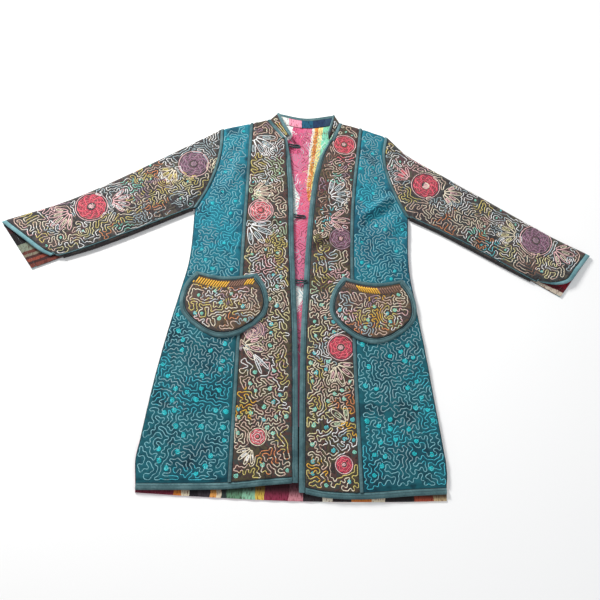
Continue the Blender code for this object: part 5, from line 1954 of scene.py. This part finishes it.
for name, side in SIDES.items():
    label = "pocket_" + name
    outer, inner, bottom, mouth = pocket_outline(side, *POCKET_INSET)
    plan = patch(outer, inner, bottom, mouth)
    under = pocket_under(side, plan)
    lines = embroider(label, outline_of(plan), POCKET_SPACING, 71 + side,
                      [mouth - [0.0, 0.0135], mouth - [0.0, 0.006]], margin=0.0028, lean=0.1,
                      dots=9)
    satin = slanted_stitches(side, mouth)
    swell = swell_of(plan, [line[0] for line in lines], POCKET_SPACING,
                     [mouth + [0.0, 0.02], mouth - [0.0, 0.010]])
    shells[label] = cloth_wall("embroidered_" + label, raised(plan, under),
                               raised(plan, under + WALL + swell), [pocket_cotton],
                               "pocket_cloth", thin=True)
    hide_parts(label)
    sew(label, "chain_stitch_" + label, lines, shells[label], "pocket_cloth", width=0.0029)
    sew(label, "satin_stitch_" + label, satin, shells[label], "pocket_cloth", width=0.0041,
        rise=0.0014)
    slack = GAP / (POCKET_MIDDLE[0] - POCKET_SIDE[-1][1])
    inner_rim = pocket_outline(side, POCKET_INSET[0] + slack, POCKET_INSET[1] + slack)
    outer_rim = pocket_outline(side)
    rims = [np.vstack([rim[0][::-1], rim[2][1:], rim[1][1:]]) for rim in (inner_rim, outer_rim)]

    def height(plan, side=side):
        return pocket_under(side, plan)

    edging = trim("bound_pocket_edge_binding_" + name, rims[0], rims[1], height)
    extras[label].append(edging)
    sewn = [ditch((rims[0] + 0.32 * (rims[1] - rims[0]))[2:-2], "sewn line")]
    sew(label, "sewn_pocket_binding_" + name, sewn, edging, "binding_cloth",
        width=POCKET_LINE_WIDTH, rise=SEWN_RISE)
    # Painted shadow: a dark line just inside the pocket's binding.
    dark = [ditch(toward(rims[0], mouth.mean(axis=0) - [0.0, 0.04], 0.0014)[2:-2])]
    sew(label, "ditch_pocket_" + name, dark, shells[label], "binding_cloth",
        width=POCKET_LINE_WIDTH, rise=SHADOW_LINE_RISE)
    mouth_lines = [rim[3].copy() for rim in (inner_rim, outer_rim)]
    for end, beside in ((0, 1), (-1, -2)):
        for line in mouth_lines:
            line[end] = toward(line[end], line[beside], 2 * GAP)
    extras[label].append(trim("bound_pocket_mouth_binding_" + name, *mouth_lines, height))
    print(label, "thread lines:", len(lines))

# %% [markdown]
# A sleeve is one piece of cloth folded along its top edge and seamed along its lower edge, so laid
# flat it is two layers with a soft roll between them. The grid goes along the under layer, round
# the fold and back over the top. Its fold rows are arcs whose size follows the gap.
# %% Folded cloth
def folded(under_plan, over_plan, lift, swell):
    """Inner and outer grids of cloth folded along its last column."""
    inner = [raised(under_plan, WALL)]
    outer = [raised(under_plan, 0.0)]
    line = over_plan[:, -1]
    beside = over_plan[:, -2] - line
    run = np.gradient(line, axis=0)
    run /= np.linalg.norm(run, axis=1, keepdims=True)
    out = np.column_stack([run[:, 1], -run[:, 0]])
    out *= -np.sign((out * beside).sum(axis=1, keepdims=True))
    radius = (GAP + lift[:, -1]) / 2
    for angle in FOLD_ANGLES:
        for sheet, reach in ((inner, radius), (outer, radius + WALL)):
            place = line + out * (reach * math.cos(angle))[:, None]
            height = WALL + radius + reach * math.sin(angle)
            sheet.append(raised(place, height)[:, None])
    top = FRONT_UNDER + lift[:, ::-1]
    inner.append(raised(over_plan[:, ::-1], top))
    outer.append(raised(over_plan[:, ::-1], top + WALL + swell[:, ::-1]))
    return np.concatenate(inner, axis=1), np.concatenate(outer, axis=1)


def sleeve_plans(side, armhole):
    """Plan grids of a sleeve's two layers, and the lines of its cuff binding in each."""
    start = armhole + np.array([side * GAP / 2, 0.0])
    fold_line = np.array(pair_points(SLEEVE_TOP, side))
    axis = armhole.mean(axis=0) - (fold_line[-1] + pair_points(UNDER_CUFF, side)[0]) / 2
    axis /= np.linalg.norm(axis)
    layers, cuffs = [], []
    for table in (UNDER_CUFF, UPPER_CUFF):
        cuff = curve(pair_points(table, side), ARM_ROWS)
        end = cuff + axis * (CUFF_BINDING + 2 * GAP)
        low = curve([start[0]] + pair_points(SLEEVE_SEAM, side)[1:] + [end[0]], SLEEVE_ROWS)
        high = curve([start[-1]] + list(fold_line[1:-1]) + [end[-1]], SLEEVE_ROWS)
        layers.append(patch(low, high, start, end))
        cuffs.append(cuff + axis * CUFF_BINDING * (1.0 - BINDING_SHARES[:, None, None]))
    return layers, cuffs


print("columns round a sleeve's fold:", len(FOLD_ANGLES))

# %% [markdown]
# A sleeve's upper layer rises from its seam to its loft and down again to the fold. Its binding
# at the cuff is folded with it, and the seam along its lower edge has a thin line of piping.
# %% Sleeves
SLEEVE_SPACING = 0.0047
SEAM_PIPING = 0.0052     # from the seam's binding to the piping line
PIPING_TO_SHADOW_LINE = 0.0016    # from the piping to the painted shadow line on either side of it
FOLD_CLEAR = 0.0052      # from the fold to the first thread
UNDER_PROUD = 0.0012     # how far the edges of the cuff's binding sink under its crown

for name, side in SIDES.items():
    label = "sleeve_" + name
    armhole = body[name][0][SIDE_ROWS:]
    (under, over), cuffs = sleeve_plans(side, armhole)
    across = np.linspace(0.0, 1.0, ARM_ROWS + 1)
    along = np.linspace(0.0, 1.0, len(over))[:, None]
    near_top = smooth((across - 1.0 + TOP_EASE) / TOP_EASE)
    profile = LOFT * smooth(across / SEAM_EASE) * (1 - near_top) + FOLD_LIFT * near_top
    stand = profile[None, :] * smooth(along / ARMHOLE_EASE)
    creases = fold_rise(over[..., 0], over[..., 1]) * smooth(along / ARMHOLE_EASE)
    creases *= smooth(across / CREASE_SHARE) * smooth((1 - across) / CREASE_SHARE)
    lift = np.maximum(stand + creases, 0.0)

    fold_line = over[:, -1]
    away = offset(fold_line, -side * FOLD_CLEAR)
    seam_line = offset(over[:, 0], side * 0.0012)
    border = np.vstack([over[0], away[1:], over[-1, ::-1], seam_line[::-1]])
    lines = embroider(label, border, SLEEVE_SPACING, 91 + side,
                      [over[0] - [side * 0.001, 0.0], toward(over[4:, 0], over[4:, 6], 0.0012)],
                      lean=-0.5 * side)
    swell = swell_of(over, [line[0] for line in lines], SLEEVE_SPACING, [over[0]])
    swell[:, -1] = 0.0
    grids = folded(under[:, ::3], over, lift, swell)
    shells[label] = cloth_wall("embroidered_" + label, *grids,
                               [sleeve_cotton, cuff_linings[name], quilted_underside],
                               "embroidered_sleeve", thin=True)
    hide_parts(label)
    sew(label, "chain_stitch_" + label, lines, shells[label], "embroidered_sleeve", width=0.0027)

    rounded = crowned(BINDING_SHARES)
    proud = (rounded * BINDING_CROWN - UNDER_PROUD * (1.0 - rounded))[:, None]
    cuff_lift = np.repeat(lift[-1:], len(BINDING_SHARES), axis=0)
    grids = folded(cuffs[0][:, ::3], cuffs[1], cuff_lift, np.broadcast_to(proud, cuff_lift.shape))
    cuff = cloth_wall("bound_cuff_binding_" + name, *grids, [cuff_cotton, cuff_linings[name]],
                      "binding_cloth", thin=True, angle=65)
    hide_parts("cuff_binding_" + name)
    extras[label].append(cuff)

    seam = curve(pair_points(SLEEVE_SEAM, side), 100)[2:]
    near_side = offset(seam, side * SEAM_BULGE)
    far_side = offset(near_side, side * SLEEVE_BINDING)
    shares = np.array([0.0, 0.3, 0.7, 1.0])
    plan = near_side[:, None] + (far_side - near_side)[:, None] * shares[None, :, None]
    top = FRONT_UNDER + WALL + GAP + 0.0006 * (1.0 - (2 * shares - 1) ** 2)
    # The seam binding is near-black: partly dark cloth, partly painted shade under the sleeve's lower
    # edge.
    binding = cloth_wall("bound_sleeve_seam_binding_" + name, raised(plan, GAP),
                         raised(plan, np.broadcast_to(top, plan.shape[:-1])),
                         [dark_cotton_painted_shade], "binding_cloth", thin=True)
    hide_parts("sleeve_seam_binding_" + name)
    extras[label].append(binding)

    inner = toward(plans[name][0][SIDE_ROWS:, -1], plans[name][0][SIDE_ROWS:, -4],
                   STRIP_SHOWN / 2)
    outer_line = toward(over[0], over[4], STRIP_SHOWN / 2)
    tape = trim("bound_armhole_strip_" + name, inner, outer_line, on_cloth, thick=TAPE)
    extras[label].append(tape)
    piping = toward(over[4:, 0], over[4:, 6], SEAM_PIPING)
    lines = [(piping, ["piping"] * len(piping), False)]
    sew(label, "piping_" + label, lines, shells[label], "binding_cloth", width=0.0026,
        rise=0.0016)
    # Painted shadow: dark lines on either side of the piping, and one at the cuff end of the upper
    # layer.
    beside = toward(over[4:, 0], over[4:, 6], SEAM_PIPING + PIPING_TO_SHADOW_LINE)
    under_piping = toward(over[4:, 0], over[4:, 6], SEAM_PIPING - PIPING_TO_SHADOW_LINE)
    hem_line = toward(over[-1], over[-4], 0.0004)
    lines = [ditch(beside), ditch(under_piping), ditch(hem_line)]
    sew(label, "ditch_" + label, lines, shells[label], "binding_cloth", width=0.0013, rise=0.0004)
    print(label, "thread lines:", len(lines))

# %% [markdown]
# The back is one flat wall that the rest lies on. Its lining shows through the open front and
# under the front hem, so its cells are fine enough to rumple there. Face down it is teal cloth.
# %% Back
BACK_COLUMNS = 108
BACK_ROWS = 150
HEM_LINING_TO = 0.14
BACK_ROLL = 0.0008       # how far its edge rolls off, over BACK_ROLL_OVER
BACK_ROLL_OVER = 0.003
BACK_RUMPLE = 0.0004


def back_plan():
    """Plan grid of the back, from its hem to the shoulders and the back of the neck."""
    sides = []
    for side in (-1, 1):
        line = np.vstack([curve(column_points(SIDE_SEAM, side), SIDE_ROWS),
                          curve(column_points(ARMHOLE, side), ARM_ROWS)[1:]
                          - [side * GAP / 2, 0.0]])
        line[0, 1] = BACK_HEM[0 if side < 0 else -1][1]
        sides.append(evenly(line, BACK_ROWS))
    left, right = sides
    hem = curve([(left[0, 0] + share * (right[0, 0] - left[0, 0]), height)
                 for share, height in BACK_HEM], BACK_COLUMNS)
    hem[0], hem[-1] = left[0], right[0]
    neck = curve([(-NECK_POINT[0], NECK_POINT[1]), (0.0, BACK_NECK), NECK_POINT], 200)
    top = np.vstack([[left[-1]], neck, [right[-1]]])
    share = np.linspace(left[-1, 0], right[-1, 0], BACK_COLUMNS + 1)
    top = np.column_stack([share, np.interp(share, top[:, 0], top[:, 1])])
    return patch(left, right, hem, top)


plan = back_plan()
x, y = plan[..., 0], plan[..., 1]
edge = distance_to(plan, outline_of(plan))
rumple = BACK_RUMPLE * (np.sin(x * 160 + np.sin(y * 60) * 2) * np.sin(y * 110) - 1.0)
shells["back"] = cloth_wall("lined_back", raised(plan, 0.0),
                            raised(plan, WALL + rumple
                                   - BACK_ROLL * (1.0 - smooth(edge / BACK_ROLL_OVER))),
                            [lining_cotton, teal_underside], "striped_lining")
shells["back"].data.materials.append(hem_lining)
for face in shells["back"].data.polygons:
    if face.normal.z > 0.5 and face.center.y < HEM_LINING_TO - ORIGIN_UP:
        face.material_index = 2
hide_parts("back")
print("back is", [round(value, 3) for value in shells["back"].dimensions])

# %% [markdown]
# The quilting goes right through to the lining, where it shows as lines of thinner bobbin thread.
# Only the opening shows them, so only the opening has them.
# %% Stitches on the lining
LINING_SPACING = 0.0042
LINING_ZONES = zones_in("""
    -40 865 white, -10 865 plum, -10 845 rose, 0 850 maroon, -25 830 maroon, 24 860 brown,
    14 835 white, 26 830 brown, 45 850 mint, -14 800 maroon, 0 800 maroon, 16 800 brown,
    34 795 grey teal, -10 775 maroon, 20 765 olive, 2 745 crimson, 18 730 yellow,
    -26 725 grey blue, -8 715 maroon, -18 695 grey teal, 6 690 crimson, -18 665 grey teal,
    4 660 crimson, -10 634 rose, 6 630 crimson, -6 600 crimson, 6 590 maroon, 0 560 maroon,
    0 530 ink, 0 490 plum, 0 470 ink, 0 440 grey teal, -2 405 white, 2 390 crimson, 0 365 maroon,
    0 340 ink""")
OPENING_FROM = 110       # the first row of the opening that shows the lining
OVERLAP = np.array([0.010, 0.0])
left_opening, right_opening = body["left"][2], body["right"][2]
border = np.vstack([right_opening[OPENING_FROM:] + OVERLAP,
                    [(0.078, 0.888), (0.045, 0.878), (0.0, 0.873), (-0.045, 0.878),
                     (-0.070, 0.888)],
                    left_opening[OPENING_FROM:][::-1] - OVERLAP])
loops = vermicelli(border, LINING_SPACING, 4, room_within(border, 0.001), lean=0.9)
lines = [(loop, zone_dyes(loop, LINING_ZONES, 7), True) for loop in loops]
sew("back", "lining_stitches", lines, shells["back"], "striped_lining", width=0.0023,
    rise=0.0006)
print("loops of bobbin thread:", len(loops))

# %% [markdown]
# The stand collar is one strip, stitched along the neckline. Its two ends stand up and lean
# outwards on the fronts, and behind them it folds down and lies flat, inside up. The strip is
# drawn as rungs from its foot to its top edge, and the cloth is offset to both sides of them.
# %% Collar rungs
BACK_STEPS = 48


def through(first, middle, last, share):
    """Place on the parabola through three points, from 0 at the first to 1 at the last."""
    return (first * (2 * share - 1) * (share - 1) + middle * 4 * share * (1 - share)
            + last * share * (2 * share - 1))


def collar_half(side, opening, neck, count):
    """Foot points, top points and outward directions of one half, from its front edge back."""
    bases, tops, outs, shown = [], [], [], []
    fold_base, fold_top = (np.array(pair_points(COLLAR_FOLD, side)[k]) for k in (0, 1))
    line = curve([opening[-1], (side * NECK_POINT[0], NECK_POINT[1])], 10)
    line = offset(line, -side * COLLAR_CLEAR)
    for row in COLLAR_FRONT:
        foot = line[round(row[0] * 10)]
        base = np.array([*foot, float(front_under(foot)) + WALL / 2])
        shown.append((base, np.array([*(row[1:3] if side < 0 else row[3:5]), base[2] + row[5]])))
    height = FRONT_UNDER + WALL / 2
    shown.append((np.array([*fold_base, height]), np.array([*fold_top, height])))
    run = np.array([*(line[-1] - line[0]), 0.0])
    for share in np.arange(COLLAR_STEPS) / COLLAR_STEPS:
        base, top = (through(*[section[k] for section in shown], share) for k in (0, 1))
        out = np.cross(run, top - base)
        bases.append(base)
        tops.append(top)
        outs.append(out * np.sign(out[2]) / np.linalg.norm(out))
    way = (fold_top - fold_base) / np.linalg.norm(fold_top - fold_base)
    beside = np.array([side * abs(way[1]), abs(way[0]), 0.0])
    for angle in COLLAR_ANGLES:
        turn = beside * math.cos(angle) + np.array([0.0, 0.0, math.sin(angle)])
        shift = turn * (WALL + GAP) / 2 + np.array([0.0, 0.0, WALL + GAP / 2])
        bases.append(np.array([*fold_base, 0.0]) + shift)
        tops.append(np.array([*fold_top, 0.0]) + shift)
        outs.append(turn)
    upper = curve([fold_top, (0.0, COLLAR_TOP_CENTRE), fold_top * [-1, 1]], BACK_STEPS)
    order = neck if side < 0 else neck[::-1]
    for step in range(2, count + 1):
        bases.append(np.array([order[step][0], order[step][1] + 3 * GAP, WALL / 2]))
        tops.append(np.array([*upper[step], WALL / 2]))
        outs.append(np.array([0.0, 0.0, -1.0]))
    return bases, tops, outs


neck = curve([(-NECK_POINT[0], NECK_POINT[1]), (0.0, BACK_NECK), NECK_POINT], BACK_STEPS)
left_half = collar_half(-1, left_opening, neck, BACK_STEPS // 2)
right_half = collar_half(1, right_opening, neck, BACK_STEPS // 2 - 1)
rungs = [np.array(left + right[::-1]) for left, right in zip(left_half, right_half)]
print("rungs along the collar:", len(rungs[0]))

# %% [markdown]
# The collar's cloth and its binding are walls round the rungs. Only its standing ends are shown
# from outside, so only these are stitched.
# %% Collar
CLOTH_COLUMNS = 13
BINDING_COLUMNS = 7
bases, tops, outs = rungs
columns = np.linspace(0.0, 1.0, CLOTH_COLUMNS)[None, :, None]
cloth_tops = toward(tops, bases, COLLAR_BINDING + 2 * GAP)
sheet = bases[:, None] + (cloth_tops - bases)[:, None] * columns
half = outs[:, None] * (WALL / 2)
shells["collar"] = cloth_wall("embroidered_collar", sheet - half, sheet + half,
                              [band_cotton, collar_lining], "collar_cloth")
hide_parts("collar")
COLLAR_SPACING = 0.0042
ZONES["collar"] = zones_in("""
    -50 850 olive, -52 862 yellow, -60 870 cream, -62 880 yellow, -70 885 orange, -74 895 beige,
    -78 905 yellow, 66 862 brown, 70 875 beige, 75 886 maroon, 78 896 pale pink, 80 905 ink""")
for name, part in (("left", slice(1, COLLAR_STEPS)), ("right", slice(1 - COLLAR_STEPS, None))):
    grid = (sheet + half)[part, 1:-1, :2]
    border = outline_of(grid)
    loops = vermicelli(border, COLLAR_SPACING, 17, room_within(border, 0.0012), lean=0.8,
                       loose=1.0)
    lines = [(loop, zone_dyes(loop, ZONES["collar"], 2), True) for loop in loops]
    if lines:
        sew("collar", "chain_stitch_collar_" + name, lines, shells["collar"], "collar_cloth")
    print("collar thread loops,", name, len(loops))
inner_line = toward(tops, bases, COLLAR_BINDING)
columns = np.linspace(0.0, 1.0, BINDING_COLUMNS)
strip = inner_line[:, None] + (tops - inner_line)[:, None] * columns[None, :, None]
proud = 0.0009 * np.sin(math.pi * columns)[None, :, None] * (outs[:, None, 2:] > 0.2)
half = outs[:, None] * (WALL / 2)
top_binding = cloth_wall("bound_collar_top_binding", strip - half,
                         strip + half + proud * outs[:, None], [binding_cotton], "binding_cloth")
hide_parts("collar_top_binding")
extras["collar"].append(top_binding)

# %% [markdown]
# Three loops of folded tape are sewn to the left front edge, for buttons that were never put on.
# Each is a strand that runs out, turns round a slot and comes back.
# %% Button loops
LOOP_SHARES = np.array([0.0, 0.12, 0.35, 0.65, 0.88, 1.0])
for name, x, height, length, rest in LOOPS:
    middle = (LOOP_SLOT + LOOP_STRAND) / 2
    turn = np.linspace(math.pi / 2, -math.pi / 2, 13)
    end = x + length - middle - LOOP_STRAND / 2
    path = [(x, middle), (x + 0.2 * length, middle), (x + 0.4 * length, middle)]
    path += [(end + middle * math.cos(angle), middle * math.sin(angle)) for angle in turn]
    path += [(x + 0.4 * length, -middle), (x + 0.2 * length, -middle), (x, -middle)]
    path = np.array(path) + [0.0, height]
    edges = [offset(path, distance) for distance in (-LOOP_STRAND / 2, LOOP_STRAND / 2)]
    plan = edges[0][:, None] + (edges[1] - edges[0])[:, None] * LOOP_SHARES[None, :, None]
    start = float(front_under(np.array([x, height]))) + LOOP_START
    under = start + (rest - start) * smooth((plan[..., 0] - x) / (0.5 * length))
    crown = crowned(LOOP_SHARES, 2.5, 0.7)
    piece = cloth_wall("corded_" + name, raised(plan, under),
                       raised(plan, under + LOOP_TAPE * 0.3 + (LOOP_TAPE * 0.7 + 0.0012) * crown),
                       [loop_cotton], "loop_tape", angle=65)
    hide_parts(name)
    extras["band_left"].append(piece)
print("loops:", len(LOOPS))

# %% [markdown]
# Each cloth piece but the collar has its cut size measured from its plan and printed. A laid piece
# keeps the size it was cut to, so its own plan gives both the rectangle it is cut from and the area of
# the cut.
# %% Cut sizes
def cut(label, plan, around=False):
    """Measure a cloth piece's cut from its plan and print its size; a folded one is cut twice as wide.
    """
    line = outline_of(plan)
    x, y = line.T
    area = abs((x * np.roll(y, -1) - y * np.roll(x, -1)).sum()) / 2
    turned = line - line.mean(axis=0)
    axes = np.linalg.svd(turned, full_matrices=False)[2]
    width, length = sorted(np.ptp(turned @ axes.T, axis=0))
    if around:
        width, area = width * 2, area * 2
    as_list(extras[label])
    print(label, "cut from", round(float(width), 3), "by", round(float(length), 3), "m")


cut("back", back_plan())
for name, side in SIDES.items():
    cut("side_front_" + name, plans[name][0])
    cut("band_" + name, plans[name][1])
    cut("pocket_" + name, patch(*pocket_outline(side, *POCKET_INSET)))
    cut("sleeve_" + name, sleeve_plans(side, body[name][0][SIDE_ROWS:])[0][1], around=True)
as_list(extras["collar"])

# %% [markdown]
# The photograph was taken from above the hem, looking down towards the collar. The light is soft
# and comes from the upper left, with a weak fill and a pale world, on plain paper.
# %% Camera, light and floor
def camera_at(place, elevation, yaw, roll):
    """Place the camera by its place and its three angles in degrees, and use it."""
    e, a, r = (math.radians(value) for value in (elevation, yaw, roll))
    ahead = Vector((math.sin(a) * math.cos(e), math.cos(a) * math.cos(e), -math.sin(e)))
    right = Vector((math.cos(a), -math.sin(a), 0.0))
    up = right.cross(ahead)
    rolled_right = math.cos(r) * right + math.sin(r) * up
    rolled_up = -math.sin(r) * right + math.cos(r) * up
    turn = Matrix((rolled_right, rolled_up, -ahead)).transposed()
    data = bpy.data.cameras.new("camera")
    data.lens = data.sensor_width = 36.0
    camera = bpy.data.objects.new("camera", data)
    camera.matrix_world = Matrix.Translation(place) @ turn.to_4x4()
    bpy.context.scene.collection.objects.link(camera)
    bpy.context.scene.camera = camera


def soft_light(name, place, size, power, colour):
    """Add an area light that looks at the middle of the coat."""
    data = bpy.data.lights.new(name, "AREA")
    data.energy, data.size, data.color = power, size, colour
    light = bpy.data.objects.new(name, data)
    turn = (-Vector(place)).to_track_quat("-Z", "Y").to_matrix()
    light.matrix_world = Matrix.Translation(place) @ turn.to_4x4()
    bpy.context.scene.collection.objects.link(light)


camera_at(Vector((-0.0404, -0.4738, 1.3004)), elevation=71.238, yaw=5.536, roll=7.675)
soft_light("key", (-1.3, 1.7, 1.25), size=0.6, power=86.0, colour=(1.0, 0.985, 0.96))
soft_light("fill", (1.2, -1.0, 2.0), size=1.6, power=12.0, colour=(0.95, 0.98, 1.0))
world = bpy.data.worlds.new("studio")
bpy.context.scene.world = world
world.use_nodes = True
feed(world.node_tree, world.node_tree.nodes["Background"],
     {"Color": (0.97, 0.98, 1.0, 1.0), "Strength": 0.47})
bpy.context.scene.view_settings.view_transform = "Standard"

bpy.ops.mesh.primitive_plane_add(size=8.0, location=(0.0, 0.0, -0.0004))
floor = bpy.context.object
floor.name = "floor"
floor_paper = new_material("floor_paper", {"Base Color": (0.92, 0.92, 0.92, 1), "Roughness": 1.0})
floor.data.materials.append(floor_paper[0])
floor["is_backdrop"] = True
print("lights:", len(bpy.data.lights))

low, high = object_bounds()
print("visual size:", [round(value, 4) for value in high - low])
